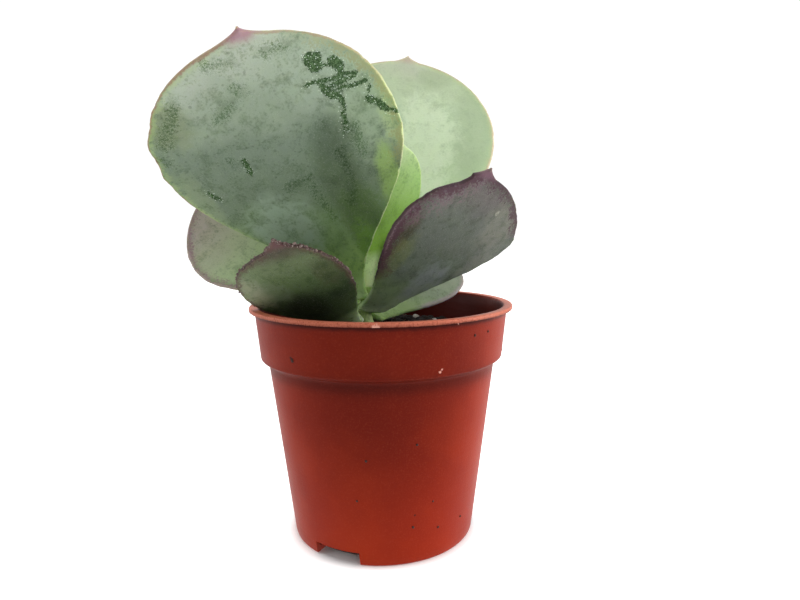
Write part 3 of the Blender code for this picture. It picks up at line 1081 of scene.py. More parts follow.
@dataclass
class NurseryPot:
    """The pot: a thin turned wall with a stepped band, a ragged lip and drain slots."""

    height: float = 48.65
    base_radius: float = 19.25
    shoulder_radius: float = 23.8
    shoulder_height: float = 36.6
    band_foot_radius: float = 25.4
    band_foot_height: float = 38.0
    band_top_radius: float = 26.45
    lip_radius: float = 27.5
    lip_depth: float = 0.85
    wall_thick: float = 0.9
    floor: float = 1.0
    around: int = 256
    slots: int = 3
    slot_heading: float = 241.0
    slot_long: float = 9.96
    slot_high: float = 2.7
    slot_reach: float = 4.2
    finish: PotPlastic = field(default_factory=PotPlastic)
    grit: tuple[Spot, ...] = (
        (230.5, 40.8), (230.9, 40.7), (319.6, 45.1), (310.6, 44.9), (286.1, 25.0), (261.7, 22.2),
        (256.2, 13.9), (296.7, 12.7), (285.7, 8.0), (301.4, 6.7), (319.6, 6.7), (20.0, 30.0),
        (75.0, 12.0), (110.0, 42.0), (150.0, 20.0), (353.0, 38.6))

    POLE_RING = 8.0
    SLOT_OUT = 3.0
    SLOT_PAST = 1.0
    LIP_SHADOW_HALF = 0.58
    BAND_SHADOW_HALF = 1.6
    HARD_EDGE = 38.0

    def wall_radius(self, height: float) -> float:
        """Outer radius of the wall at a height."""
        heights = (0.0, self.shoulder_height, self.band_foot_height, self.height)
        radii = (self.base_radius, self.shoulder_radius, self.band_foot_radius, self.band_top_radius)
        return float(np.interp(height, heights, radii))

    def profile(self) -> list[tuple[float, float, float, float]]:
        """Radius, height, lip share and inside share, from the lip down and back up inside."""
        top, lip = self.height, self.lip_radius
        foot = top - self.lip_depth
        under = self.wall_radius(foot)
        points = [(self.band_top_radius - 0.25, top - 0.02, 1.0), (lip - 0.6, top, 1.0),
                  (lip - 0.3, top - 0.02, 1.0), (lip - 0.12, top - 0.08, 1.0), (lip - 0.02, top - 0.2, 1.0),
                  (lip, foot + 0.3, 1.0), (lip - 0.03, foot + 0.12, 0.9), (lip - 0.14, foot + 0.02, 0.6),
                  (lip - 0.4, foot + 0.02, 0.2), (under + 0.08, foot - 0.04, 0.0),
                  (under + 0.01, foot - 0.3, 0.0), (under, foot - 0.75, 0.0)]
        band, step = self.band_foot_radius, self.band_foot_height
        points += self.wall(foot + (step + 0.8 - foot) * share for share in np.linspace(0.12, 0.95, 9))
        shoulder, low = self.shoulder_radius, self.shoulder_height
        # The lip share of 0.3 here paints a thin highlight line on the band's foot edge.
        points += [(band + 0.04, step + 0.5, 0.0), (band + 0.03, step + 0.28, 0.3),
                   (band - 0.02, step + 0.1, 0.3), (band - 0.16, step - 0.06, 0.0),
                   (band - 0.5, step - 0.22, 0.0), (shoulder + 0.3, low + 0.75, 0.0),
                   (shoulder + 0.06, low + 0.35, 0.0), (shoulder - 0.03, low - 0.1, 0.0)]
        points += self.wall((low - 0.9, low - 2.2))
        points += self.wall((low - 2.6) * (1 - share) + 0.8 * share for share in np.linspace(0.03, 0.97, 26))
        base, floor = self.base_radius, self.floor
        points += [(base + 0.02, 0.42, 0.0), (base - 0.12, 0.14, 0.0), (base - 0.4, 0.0, 0.0),
                   (base - 3.0, 0.0, 0.0), (self.POLE_RING, 0.0, 0.0), (0.0, 0.0, 0.0)]
        outside = [(*point, 0.0) for point in points]
        inside = [(0.0, floor, 0.0, 1.0), (self.POLE_RING, floor, 0.0, 1.0),
                  (base - self.wall_thick - 0.5, floor, 0.0, 1.0)]
        for height in np.linspace(floor + 0.7, top - 0.7, 24):
            inside.append((self.wall_radius(height) - self.wall_thick, height, 0.0, 1.0))
        mouth = self.band_top_radius - self.wall_thick
        return outside + inside + [(mouth + 0.05, top - 0.35, 0.2, 0.7), (mouth + 0.2, top - 0.1, 0.8, 0.2)]

    def wall(self, heights: Iterable[float]) -> list[tuple[float, float, float]]:
        """Points of the plain outer wall at some heights."""
        return [(self.wall_radius(height), height, 0.0) for height in heights]

    def build(self) -> None:
        """Turn the wall, cut the slots, and put the loose grit on it."""
        profile = self.profile()
        rows, shares = [], []
        for radius, height, lip, inside in profile:
            for i in range(self.around if radius > 0 else 1):
                angle = math.tau * i / self.around
                turned = self.uneven(radius, height, angle, lip)
                rows.append((turned * math.cos(angle), turned * math.sin(angle), height))
                # The third share is the painted shadow under the lip and the band.
                shares.append((lip, inside, self.painted_ledge_shadow(height, angle) * (1 - inside)))
        turned_pot = mesh_piece("turned_pot", np.array(rows), self.faces([row[0] > 0 for row in profile]))
        for name, values in zip(("lip", "inside", "painted_ledge_shadow"), np.array(shares).T):
            carry(turned_pot, name, values)
        settle(self.cut_slots(turned_pot), "pot", "pot")
        dirt = Graph("pot_grit")
        dirt.fix("Base Color", dirt.mix(dirt.noise(4.0), tone(34, 16, 12), tone(70, 36, 26)))
        dirt.fix("Roughness", 0.8)
        spots = []
        for heading, height in self.grit:
            spots.append(on_wall(heading, self.wall_radius(height), height))
        grains = Grains("pot_grit", dirt.material, 0.16, 0.34, 0.8, 0.12, seed=5)
        settle(grains.harvest(host_of(spots), "grit_on_pot"), "pot")

    def painted_ledge_shadow(self, height: float, angle: float) -> float:
        """Share of painted shadow under the lip, in a ragged line, and under the band.

        Args:
            height: The height.
            angle: The heading in radians.

        Returns:
            The share.
        """
        ragged = 0.2 * wave(math.cos(angle) * 30, math.sin(angle) * 30, 7.0)
        below_lip = self.height - self.lip_depth - 0.25 - height + ragged
        below_band = self.shoulder_height - 0.2 - height
        lip_share = 0.97 * math.exp(-(below_lip / self.LIP_SHADOW_HALF) ** 2)
        return max(lip_share, 0.6 * math.exp(-(below_band / self.BAND_SHADOW_HALF) ** 2))

    def uneven(self, radius: float, height: float, angle: float, lip: float) -> float:
        """The turned radius with the moulding's small unevenness.

        Args:
            radius: The true radius.
            height: The height.
            angle: The heading in radians.
            lip: How much of it is lip.

        Returns:
            The radius to use.
        """
        c, s = math.cos(angle), math.sin(angle)
        soft = 0.05 * wave(c * 2.2, s * 2.2, height * 0.05)
        if 0.15 < lip < 0.95 and height > self.band_foot_height + 3:
            soft += 0.3 * max(0.0, wave(c * 45, s * 45, 3.0)) + 0.12 * wave(c * 120, s * 120, 5.0)
        if height < 0.01 or lip == 1.0:
            soft = min(soft, 0.0)
        return min(radius + soft * min(1.0, radius / 10), self.lip_radius)

    def faces(self, full: Sequence[bool]) -> list[tuple[int, ...]]:
        """Faces of the turned wall, closed at the axis and joined back to its first ring.

        Args:
            full: For each profile point, whether it is a ring and not a pole.

        Returns:
            The faces' vertex numbers.
        """
        starts = np.cumsum([0] + [self.around if ring else 1 for ring in full])
        faces: list[tuple[int, ...]] = []
        for k in range(len(full)):
            n = (k + 1) % len(full)
            a, b = int(starts[k]), int(starts[n])
            for i in range(self.around):
                j = (i + 1) % self.around
                if full[k] and full[n]:
                    faces.append((a + i, b + i, b + j, a + j))
                elif full[k]:
                    faces.append((a + i, b, a + j))
                elif full[n]:
                    faces.append((a, b + i, b + j))
        return faces

    def cut_slots(self, pot: bpy.types.Object) -> bpy.types.Object:
        """Open the drain slots through the corner of wall and floor.

        Args:
            pot: The turned wall.

        Returns:
            The finished pot.
        """
        deep = self.slot_reach + self.SLOT_OUT
        middle = self.base_radius - self.slot_reach + deep / 2
        cut = Grower("drain_slots", {"Slots": self.slots, "Long": self.slot_long * MM,
                                     "High": (self.slot_high + self.SLOT_PAST) * MM, "Deep": deep * MM,
                                     "Out": middle * MM, "Heading": math.radians(self.slot_heading)})
        size = cut.vector(cut.given("Deep"), cut.given("Long"), cut.given("High"))
        block = cut.add("MeshCube", {"Size": size})
        shift = cut.vector(cut.given("Out"), 0.0, (self.slot_high - self.SLOT_PAST) / 2 * MM)
        placed = cut.add("Transform", {"Geometry": block.outputs[0], "Translation": shift})
        line = cut.add("MeshLine", {"Count": cut.given("Slots"), "Offset": (0.0, 0.0, 0.0)})
        number = cut.add("InputIndex").outputs[0]
        pitch = cut.math("MULTIPLY_ADD", number, math.tau / self.slots, cut.given("Heading"))
        ring = cut.add("InstanceOnPoints", {"Points": line.outputs[0], "Instance": placed.outputs[0],
                                            "Rotation": cut.vector(0.0, 0.0, pitch)})
        blocks = cut.add("RealizeInstances", {"Geometry": ring.outputs[0]})
        opened = cut.add("MeshBoolean", {"Mesh 1": cut.given("Geometry"), "Mesh 2": blocks.outputs[0]},
                         operation="DIFFERENCE")
        cut.finish(opened.outputs[0], self.finish.material())
        piece = cut.harvest(pot, "nursery_pot")
        crease(piece, self.HARD_EDGE)
        return piece


def crease(piece: bpy.types.Object, angle: float) -> None:
    """Shade edges hard where faces meet at more than an angle in degrees."""
    mesh = piece.data
    normals = [polygon.normal.copy() for polygon in mesh.polygons]
    sides: dict[tuple[int, int], list[int]] = {}
    for polygon in mesh.polygons:
        for key in polygon.edge_keys:
            sides.setdefault(key, []).append(polygon.index)
    limit = math.cos(math.radians(angle))
    for edge in mesh.edges:
        pair = sides.get(edge.key, [])
        edge.use_edge_sharp = len(pair) == 2 and normals[pair[0]].dot(normals[pair[1]]) < limit


# --------------------------------------------------------------- soil and stem


@dataclass(frozen=True)
class SoilFinish:
    """Finishes of the potting soil and of what lies in it."""

    dark: Colour = tone(24, 18, 14)
    crumb: Colour = tone(58, 44, 34)
    fibre: Colour = tone(96, 70, 46)
    perlite: Colour = tone(214, 208, 196)

    def earth(self, name: str, light: float) -> bpy.types.Material:
        """Damp peat, from dark to crumb colour.

        Args:
            name: The material's name.
            light: How much of the lighter colour shows.

        Returns:
            The material.
        """
        g = Graph(name)
        grain, cloud = g.noise(2.6, 4.0, 0.65), g.noise(0.35, 3.0)
        share = g.frayed(grain, cloud, 0.5)
        g.fix("Base Color", g.mix(g.step(share, 0.42, 0.72, 0.0, light), self.dark, self.crumb))
        g.fix("Roughness", g.scaled(grain, 0.25, 0.72))
        g.fix("Specular IOR Level", 0.3)
        g.bump(grain, 0.35)
        return g.material

    def plain(self, name: str, colour: Colour, shade: Colour) -> bpy.types.Material:
        """A mottled finish for perlite and fibres.

        Args:
            name: The material's name.
            colour: The main colour.
            shade: The mottling's colour.

        Returns:
            The material.
        """
        g = Graph(name)
        grain = g.noise(5.0, 3.0, 0.6)
        g.fix("Base Color", g.mix(g.step(grain, 0.4, 0.7, 0.0, 0.7), colour, shade))
        g.fix("Roughness", 0.85)
        g.bump(grain, 0.12)
        return g.material


@dataclass
class PottingSoil:
    """The soil in the pot: a crumbly domed bed with crumbs, fibres and perlite on it."""

    edge_height: float = 41.0
    crown_height: float = 43.3
    relief: float = 0.55
    bottom: float = 1.3
    clear: float = 1.0
    side_clear: float = 1.6
    around: int = 150
    across: int = 44
    crumbs: float = 0.9
    lumps: float = 0.16
    fibres: float = 0.035
    seed: int = 4
    finish: SoilFinish = field(default_factory=SoilFinish)
    perlite: tuple[Spot, ...] = (
        (6.5, -8.0), (12.0, 9.0), (-14.0, 8.5), (2.0, 17.5), (17.5, -3.0), (-8.0, -16.5),
        (-19.0, -2.0), (8.5, 19.0), (14.5, -13.0), (-4.0, 12.0), (-12.5, 17.0), (20.0, 8.0))

    SIDE_TOP = 39.5
    SIDE_RINGS = 8
    LIE_CLEAR = 1.25
    FIBRE_CLEAR = 3.2
    PERLITE_LIFT = 0.5

    def surface(self, x: float, y: float, rim: float) -> float:
        """Height of the bed at a place.

        Args:
            x: Place across.
            y: Place in depth.
            rim: Radius of the bed.

        Returns:
            The height.
        """
        share = min(1.0, math.hypot(x, y) / rim)
        dome = self.edge_height + (self.crown_height - self.edge_height) * (1 - share * share)
        rough = wave(x * 0.28, y * 0.28, 1.0)
        rough += 0.5 * wave(x * 0.8, y * 0.8, 2.0) + 0.3 * wave(x * 2, y * 2, 3.0)
        return dome + self.relief * rough

    def build(self, pot: NurseryPot) -> None:
        """Make the bed and strew it.

        Args:
            pot: The pot that it lies in.
        """
        rim = pot.wall_radius(self.edge_height) - self.clear
        sides = [(height, pot.wall_radius(height) - self.side_clear)
                 for height in np.linspace(self.bottom, self.SIDE_TOP, self.SIDE_RINGS)]
        rows: list[tuple[float, float, float]] = []
        for height, radius in sides:
            rows += [(radius * math.cos(a), radius * math.sin(a), height) for a in self.headings()]
        for ring in range(self.across):
            radius = rim * (1 - ring / self.across)
            for a in self.headings():
                x, y = radius * math.cos(a), radius * math.sin(a)
                rows.append((x, y, self.surface(x, y, rim)))
        faces = loft_faces(len(sides) + self.across, self.around)
        bed = mesh_piece("soil_bed", np.array(rows), faces, self.finish.earth("damp_peat", 0.5))
        crumb = self.finish.earth("peat_crumb", 0.9)
        for name, low, high, per_area, seed, fine in (("peat_lumps", 0.7, 1.5, self.lumps, 11, 2),
                                                      ("peat_crumbs", 0.2, 0.6, self.crumbs, 12, 1)):
            grains = Grains(name, crumb, low, high, 0.8, 0.9 * low, per_area, seed, fine,
                            rim - self.LIE_CLEAR * high)
            settle(grains.harvest(twin_of(bed), name), "soil")
        settle(self.strew_fibres(bed, rim - self.FIBRE_CLEAR), "soil")
        white = self.finish.plain("perlite_white", self.finish.perlite, tone(160, 150, 136))
        spots = [(x, y, self.surface(x, y, rim) + self.PERLITE_LIFT) for x, y in self.perlite]
        perlite = Grains("perlite", white, 0.5, 1.15, 0.8, 0.6, seed=3)
        settle(perlite.harvest(host_of(spots), "perlite_grains"), "soil")
        settle(bed, "soil", "soil")

    def headings(self) -> np.ndarray:
        """Headings of one ring's vertices, in radians."""
        return np.arange(self.around) * math.tau / self.around

    def strew_fibres(self, bed: bpy.types.Object, reach: float) -> bpy.types.Object:
        """Lay thin bent root and coir fibres on the bed.

        Args:
            bed: The soil's bed.
            reach: How far from the pot's axis they may lie.

        Returns:
            The fibres, as one piece.
        """
        grow = Grower("soil_fibres", {"Per area": self.fibres / MM ** 2, "Seed": self.seed,
                                      "Long": 4.5 * MM, "Thick": 0.11 * MM, "Reach": reach * MM})
        near_end, bow, far_end = (grow.math("MULTIPLY", grow.given("Long"), share)
                                  for share in (-0.5, 0.3, 0.5))
        arc = grow.add("CurveQuadraticBezier", {"Resolution": 8, "Start": grow.vector(near_end),
                                                "Middle": grow.vector(0.0, bow, bow),
                                                "End": grow.vector(far_end)})
        ring = grow.add("CurvePrimitiveCircle", {"Resolution": 5, "Radius": grow.given("Thick")})
        strand = grow.add("CurveToMesh", {"Curve": arc.outputs[0], "Profile Curve": ring.outputs[0],
                                          "Fill Caps": True})
        turn = grow.add("FunctionNodeRandomValue", {0: (-0.5, -0.5, 0.0), 1: (0.5, 0.5, math.tau)},
                        data_type="FLOAT_VECTOR")
        size = grow.add("FunctionNodeRandomValue", {2: 0.4, 3: 1.3}, data_type="FLOAT")
        laid = grow.add("InstanceOnPoints", {"Points": grow.strewn(), "Instance": strand.outputs[0],
                                             "Rotation": turn.outputs[0], "Scale": size.outputs[1]})
        grow.finish(laid.outputs[0], self.finish.plain("fibre_brown", self.finish.fibre, tone(50, 36, 26)))
        return grow.harvest(twin_of(bed), "soil_fibres")


@dataclass
class Stem:
    """The short green stem, ringed where leaves join, with its root crown in the soil."""

    x: float = -3.5
    y: float = 0.0
    around: int = 48
    steps: int = 60
    joints: tuple[float, ...] = (44.5, 47.0, 49.5, 51.0)
    heights: tuple[float, ...] = (31.0, 40.5, 43.0, 44.2, 51.6)
    radii: tuple[float, ...] = (0.9, 2.2, 1.95, 1.85, 0.55)

    UNEVEN = 0.05
    SWELL = 0.16
    SWELL_HALF = 0.35

    def radius(self, height: float) -> float:
        """Radius of the stem at a height."""
        body = float(np.interp(height, self.heights, self.radii))
        swell = sum(self.SWELL * math.exp(-((height - joint) / self.SWELL_HALF) ** 2)
                    for joint in self.joints)
        return body + swell - self.SWELL / 2

    def build(self) -> None:
        """Make the stem and dress it."""
        rows = []
        for height in np.linspace(self.heights[0], self.heights[-1], self.steps):
            for i in range(self.around):
                angle = math.tau * i / self.around
                c, s = math.cos(angle), math.sin(angle)
                radius = self.radius(height) + self.UNEVEN * wave(c * 1.5, s * 1.5, height)
                rows.append((self.x + radius * c, self.y + radius * s, height))
        g = Graph("stem_skin")
        along = g.noise(1.0, 3.0, 0.6, 0.0, (2.5, 2.5, 0.4))
        grain = g.noise(3.5, 3.0)
        green = g.mix(g.step(along, 0.4, 0.7), tone(128, 150, 84), tone(96, 112, 62))
        g.fix("Base Color", g.mix(g.step(grain, 0.58, 0.75, 0.0, 0.6), green, tone(120, 92, 66)))
        g.fix("Roughness", 0.6)
        g.fix("Subsurface Weight", 0.1)
        g.fix("Subsurface Radius", (0.8, 1.0, 0.4))
        g.fix("Subsurface Scale", MM)
        g.bump(g.math("ADD", g.scaled(along, 0.6), g.scaled(grain, 0.4)), 0.12)
        stem = mesh_piece("stem_and_crown", np.array(rows), loft_faces(self.steps, self.around), g.material)
        settle(stem, "stem", "stem")


# ------------------------------------------------------------------- the leaves

def large_front_leaf() -> Leaf:
    """The large leaf that leans towards the viewer and shows its rubbed under face."""
    # The pale butt of the under ramp, and the light patches and pale margin tints on the +reach half, are
    # partly the leaf's own tone and partly painted light, brighter where back light and bounce fall.
    skin = LeafSkin(
        under=((0.0, tone(206, 222, 182)), (0.1, tone(176, 200, 140)), (0.18, tone(140, 172, 100)),
               (0.34, tone(112, 138, 92)), (0.52, tone(107, 124, 101)), (0.68, tone(114, 130, 111)),
               (0.82, tone(138, 153, 132)), (0.96, tone(168, 176, 162))),
        upper=((0.0, tone(170, 195, 120)), (0.2, tone(150, 175, 120)), (0.55, tone(158, 180, 140)),
               (1.0, tone(176, 184, 158))),
        mottling=0.5,
        patches=(
            Patch((40.0, 15.0), (12.0, 6.0), tone(146, 164, 136), 0.8),
            Patch((28.0, 8.0), (11.0, 5.0), tone(72, 90, 60), 0.72),
            Patch((36.0, 9.0), (5.0, 5.0), tone(80, 96, 75), 0.65),
            Patch((20.5, -6.0), (9.0, 8.5), tone(144, 164, 142), 0.85),
            Patch((19.0, 9.5), (9.0, 4.5), tone(72, 98, 46), 0.8),
            Patch((26.0, 16.5), (8.0, 2.6), tone(142, 170, 96), 0.8),
            Patch((13.0, 8.5), (7.0, 2.6), tone(98, 136, 56), 0.8),
            Patch((48.0, 10.0), (7.0, 8.0), tone(152, 167, 147), 0.6),
            Patch((37.0, 20.0), (8.0, 2.6), tone(166, 184, 134), 0.7),
            Patch((51.0, 5.0), (4.0, 8.0), tone(157, 170, 150), 0.6),
            Patch((46.0, -16.0), (5.0, 5.0), tone(124, 136, 104), 0.7),
            Patch((28.0, -18.0), (12.0, 3.0), tone(131, 147, 114), 0.6),
        ),
        rims=(
            Rim(tone(158, 174, 120), 1.0, 0.45, Half.RIGHT, 0.3, 0.98, 1.1),
            Rim(tone(140, 130, 76), 1.5, 0.5, Half.LEFT, 0.5, 0.95, 1.8),
            Rim(tone(214, 218, 176), 0.28, 0.6, Half.LEFT, 0.16, 0.9, 0.9),
            Rim(tone(146, 108, 96), 0.35, 0.8, Half.RIGHT, 0.5, 1.1, 0.9),
            Rim(tone(152, 118, 98), 0.3, 0.6, Half.LEFT, 0.78, 1.1, 0.9),
        ),
        point_colour=tone(160, 120, 132),
    )
    rubs = (
        Stroke(((50.1, 9.1), (48.6, 9.7)), 1.9), Stroke(((50.2, 10.3), (48.9, 10.3)), 1.3),
        Stroke(((48.6, 10.7), (48.1, 12.2)), 0.4), Stroke(((48.7, 12.6), (47.8, 13.5)), 1.5),
        Stroke(((47.7, 13.0), (47.2, 13.5), (45.6, 13.2)), 1.1),
        Stroke(((46.1, 7.2), (46.3, 9.1), (45.9, 11.2), (45.8, 13.0)), 0.5),
        Stroke(((45.3, 9.9), (43.9, 10.5), (43.0, 11.1)), 1.1),
        Stroke(((44.7, 10.7), (44.9, 12.8), (45.2, 15.4)), 0.6), Stroke(((46.0, 13.9), (45.6, 15.8)), 0.5),
        Stroke(((44.8, 11.6), (45.0, 13.4)), 0.9), Stroke(((44.0, 12.9), (43.7, 14.8), (43.8, 17.1)), 0.6),
        Stroke(((43.8, 12.5), (40.8, 12.3), (36.3, 11.3)), 0.8),
        Stroke(((40.7, 16.7), (39.5, 18.2), (38.1, 19.0)), 1.1), Stroke(((38.1, 19.0), (36.9, 20.9)), 0.6),
        Stroke(((42.8, 17.5), (41.7, 16.9)), 0.4), Stroke(((36.9, -6.7), (34.1, -6.5)), 0.8),
        Stroke(((32.2, -15.6), (30.4, -14.4)), 0.8),
    )
    smears = (
        Stroke(((49.3, -13.1), (46.9, -14.5), (44.8, -16.9), (42.8, -18.1)), 1.3),
        Stroke(((46.1, -15.0), (42.4, -16.8)), 0.6), Stroke(((41.0, -19.4), (39.7, -18.8)), 0.6),
        Stroke(((28.4, 2.8), (23.8, 3.4)), 1.1), Stroke(((23.1, 4.1), (20.9, 3.9)), 0.6),
        Stroke(((46.6, -5.1), (45.0, -7.5)), 1.3), Stroke(((49.3, -3.5), (47.7, -3.3)), 0.5),
        Stroke(((48.8, -2.4), (47.7, -2.0)), 0.3), Stroke(((37.1, 12.8), (32.0, 13.3)), 1.9),
        Stroke(((33.2, 9.6), (28.1, 9.8), (23.2, 8.5)), 1.3), Stroke(((38.8, -12.7), (37.9, -12.4)), 0.4),
        Stroke(((37.2, -8.8), (36.0, -8.4)), 0.4), Stroke(((53.3, 2.4), (52.9, 6.3)), 1.1),
        Stroke(((53.6, -6.2), (53.0, -2.5)), 0.8), Stroke(((38.9, 8.2), (38.1, 8.3)), 0.6),
        Stroke(((29.4, -1.2), (30.3, 3.0)), 1.3),
    )
    return Leaf("large_front_leaf", "large_front_leaf", skin, heading=228, rise=53, length=56.0, width=42.3,
                start=0.7, droop=4, sweep=30, roll=11.5, twist=20, butt=0.14, waist=1.94, apex=2.27,
                cup=5.3, seed=1, point_wide=6.4, scallop=0.2, rubs=rubs, smears=smears, stations=170,
                side_points=56,
                nicks=(Nick(43.5, Half.RIGHT, -0.45, 1.6), Nick(39.5, Half.RIGHT, 0.3, 1.0),
                       Nick(37.0, Half.RIGHT, -0.35, 1.0)))


def large_back_leaf() -> Leaf:
    """The large leaf behind, with its pale upper face forward and its foot clasping the stem."""
    skin = LeafSkin(
        under=((0.0, tone(150, 176, 120)), (0.4, tone(120, 140, 112)), (1.0, tone(170, 178, 158))),
        upper=((0.0, tone(186, 214, 136)), (0.22, tone(184, 212, 144)), (0.45, tone(200, 221, 180)),
               (0.7, tone(196, 215, 180)), (0.88, tone(193, 208, 175)), (1.0, tone(196, 202, 180))),
        mottling=0.16,
        specks=0.04,
        pits=0.1,
        patches=(
            Patch((40.0, -17.5), (16.0, 6.0), tone(176, 194, 158), 0.65, face=Face.UPPER),
            Patch((34.0, -6.0), (15.0, 9.0), tone(222, 236, 206), 0.7, 1.0, face=Face.UPPER),
            Patch((52.0, -7.0), (3.0, 5.0), tone(158, 172, 138), 0.35, face=Face.UPPER),
        ),
        rims=(
            Rim(tone(200, 208, 166), 1.0, 0.6, Half.BOTH, 0.3, 1.2),
            Rim(tone(196, 164, 146), 0.4, 0.65, Half.BOTH, 0.45, 1.2),
        ),
        point_colour=tone(196, 178, 162),
        flesh=0.2,
    )
    return Leaf("large_back_leaf", "large_back_leaf", skin, heading=58.5, rise=72, length=55.8, width=44.3,
                start=0.6, droop=1.6, sweep=5.4, roll=14.6, twist=7, butt=0.22, apex=1.9, cup=11.2,
                clasp=3.9, seed=2, stations=170, side_points=56)


def right_leaf() -> Leaf:
    """The dark leaf on the right, washed with purple round its upper margin."""
    skin = LeafSkin(
        under=((0.0, tone(188, 204, 168)), (0.16, tone(150, 168, 130)), (0.28, tone(106, 124, 86)),
               (0.42, tone(88, 98, 84)), (0.7, tone(86, 92, 83)), (1.0, tone(94, 88, 86))),
        upper=((0.0, tone(150, 176, 112)), (0.3, tone(120, 138, 104)), (0.7, tone(120, 120, 110)),
               (1.0, tone(110, 84, 92))),
        mottling=0.55,
        specks=0.4,
        patches=(
            Patch((23.0, -10.5), (9.0, 2.8), tone(58, 52, 32), 0.85),
            Patch((18.0, -8.0), (8.0, 3.0), tone(92, 100, 58), 0.6),
            Patch((13.0, 4.5), (8.0, 6.0), tone(118, 126, 122), 0.8),
            Patch((7.0, -2.0), (5.0, 3.5), tone(118, 138, 100), 0.7),
            Patch((31.0, 12.0), (8.0, 6.0), tone(112, 112, 101), 0.7),
            Patch((19.0, 15.0), (8.0, 5.0), tone(110, 114, 105), 0.7),
            Patch((33.0, 8.2), (0.9, 0.6), tone(160, 158, 146), 0.7, 1.4),
        ),
        rims=(
            Rim(tone(116, 96, 102), 3.4, 0.6, Half.RIGHT, 0.66, 1.2, 1.4),
            Rim(tone(70, 44, 54), 1.9, 0.9, Half.RIGHT, 0.35, 1.2, 1.3),
            Rim(tone(66, 40, 52), 1.9, 0.9, Half.LEFT, 0.74, 1.2, 1.3),
            Rim(tone(150, 132, 136), 0.5, 0.35, Half.RIGHT, 0.5, 0.8, 1.6),
            Rim(tone(52, 30, 40), 0.25, 0.75, Half.BOTH, 0.3, 1.2, 0.9),
        ),
        point_colour=tone(110, 80, 92),
    )
    return Leaf("right_leaf", "right_leaf", skin, heading=-42, rise=32, length=39.2, width=32.6,
                start=1.4, droop=-23, sweep=6.5, roll=-10, twist=-5.5, widest=0.68, butt=0.26,
                waist=2.3, apex=1.5, cup=2, lopside=0.18, scallop=0.3, point_wide=4.8, seed=3,
                nicks=(Nick(36.9, Half.RIGHT, 2.0, 1.9), Nick(29.5, Half.RIGHT, -0.3, 1.2),
                       Nick(27.0, Half.LEFT, -0.8, 4.0)))


def left_leaf() -> Leaf:
    """The leaf on the left, behind the large front one."""
    skin = LeafSkin(
        under=((0.0, tone(112, 134, 88)), (0.4, tone(100, 122, 80)), (0.75, tone(110, 130, 88)),
               (1.0, tone(128, 130, 108))),
        upper=((0.0, tone(150, 176, 112)), (0.5, tone(140, 158, 116)), (1.0, tone(150, 140, 132))),
        mottling=0.45,
        patches=(Patch((27.0, 10.0), (9.0, 6.0), tone(88, 110, 70), 0.6),),
        rims=(
            Rim(tone(118, 88, 96), 1.3, 0.75, Half.LEFT, 0.3, 1.2, 1.3),
            Rim(tone(118, 90, 98), 1.1, 0.7, Half.RIGHT, 0.5, 1.2, 1.3),
            Rim(tone(166, 150, 150), 0.4, 0.5, Half.BOTH, 0.4, 1.2, 1.3),
        ),
        point_colour=tone(140, 104, 116),
    )
    return Leaf("left_leaf", "left_leaf", skin, heading=153, rise=37.8, length=44.0, width=34.5,
                start=0.8, droop=8, sweep=17, roll=-18, twist=-41, waist=1.7, apex=1.91, cup=6.6, seed=4)


def low_front_leaf() -> Leaf:
    """The small old leaf at the front, dark under its face, its margin corky."""
    skin = LeafSkin(
        under=((0.0, tone(196, 208, 172)), (0.12, tone(140, 158, 112)), (0.24, tone(74, 90, 52)),
               (0.42, tone(54, 70, 40)),
               (0.65, tone(92, 113, 72)), (0.85, tone(104, 120, 84)), (1.0, tone(84, 78, 64))),
        upper=((0.0, tone(150, 176, 112)), (0.5, tone(130, 150, 104)), (1.0, tone(120, 112, 96))),
        mottling=0.55,
        specks=0.4,
        patches=(
            Patch((12.0, -3.0), (6.0, 4.5), tone(34, 44, 20), 0.75),
            Patch((20.0, -10.5), (6.0, 4.0), tone(140, 146, 118), 0.8),
            Patch((20.0, 6.5), (5.0, 4.0), tone(76, 80, 54), 0.6),
            Patch((19.0, -6.0), (4.0, 3.5), tone(104, 118, 90), 0.5),
        ),
        rims=(
            Rim(tone(84, 70, 60), 0.9, 0.8, Half.BOTH, 0.45, 1.2, 1.1),
            Rim(tone(140, 124, 112), 0.35, 0.5, Half.BOTH, 0.5, 1.2, 0.9),
            Rim(tone(52, 30, 30), 0.28, 0.8, Half.BOTH, 0.35, 1.2, 0.9),
        ),
        point_colour=tone(104, 74, 74),
    )
    return Leaf("low_front_leaf", "low_front_leaf", skin, heading=231.5, rise=30, length=29.6, width=22.4,
                start=0.5, droop=-10, sweep=6.7, roll=31, twist=-13, waist=1.8, apex=1.95, cup=3,
                lopside=-0.19, scallop=0.24, seed=5, point_wide=3.6, lean=0.9,
                nicks=(Nick(29.3, Half.RIGHT, 3.0, 1.1), Nick(27.4, Half.RIGHT, 1.0, 1.0)))


def low_back_leaf() -> Leaf:
    """The small leaf low on the right, behind the dark one."""
    skin = LeafSkin(
        under=((0.0, tone(128, 150, 100)), (0.3, tone(92, 108, 74)), (0.6, tone(96, 108, 84)),
               (1.0, tone(104, 108, 94))),
        upper=((0.0, tone(150, 176, 112)), (0.2, tone(126, 146, 98)), (0.5, tone(120, 132, 108)),
               (1.0, tone(126, 130, 114))),
        rims=(Rim(tone(140, 124, 132), 0.9, 0.7, Half.BOTH, 0.3, 1.2),),
    )
    return Leaf("low_back_leaf", "low_back_leaf", skin, heading=54.3, rise=27.4, length=30.0, width=24.6,
                start=1.2, droop=4.8, roll=15.4, twist=2.9, butt=0.16, waist=1.41, apex=2.25, cup=2, seed=6)


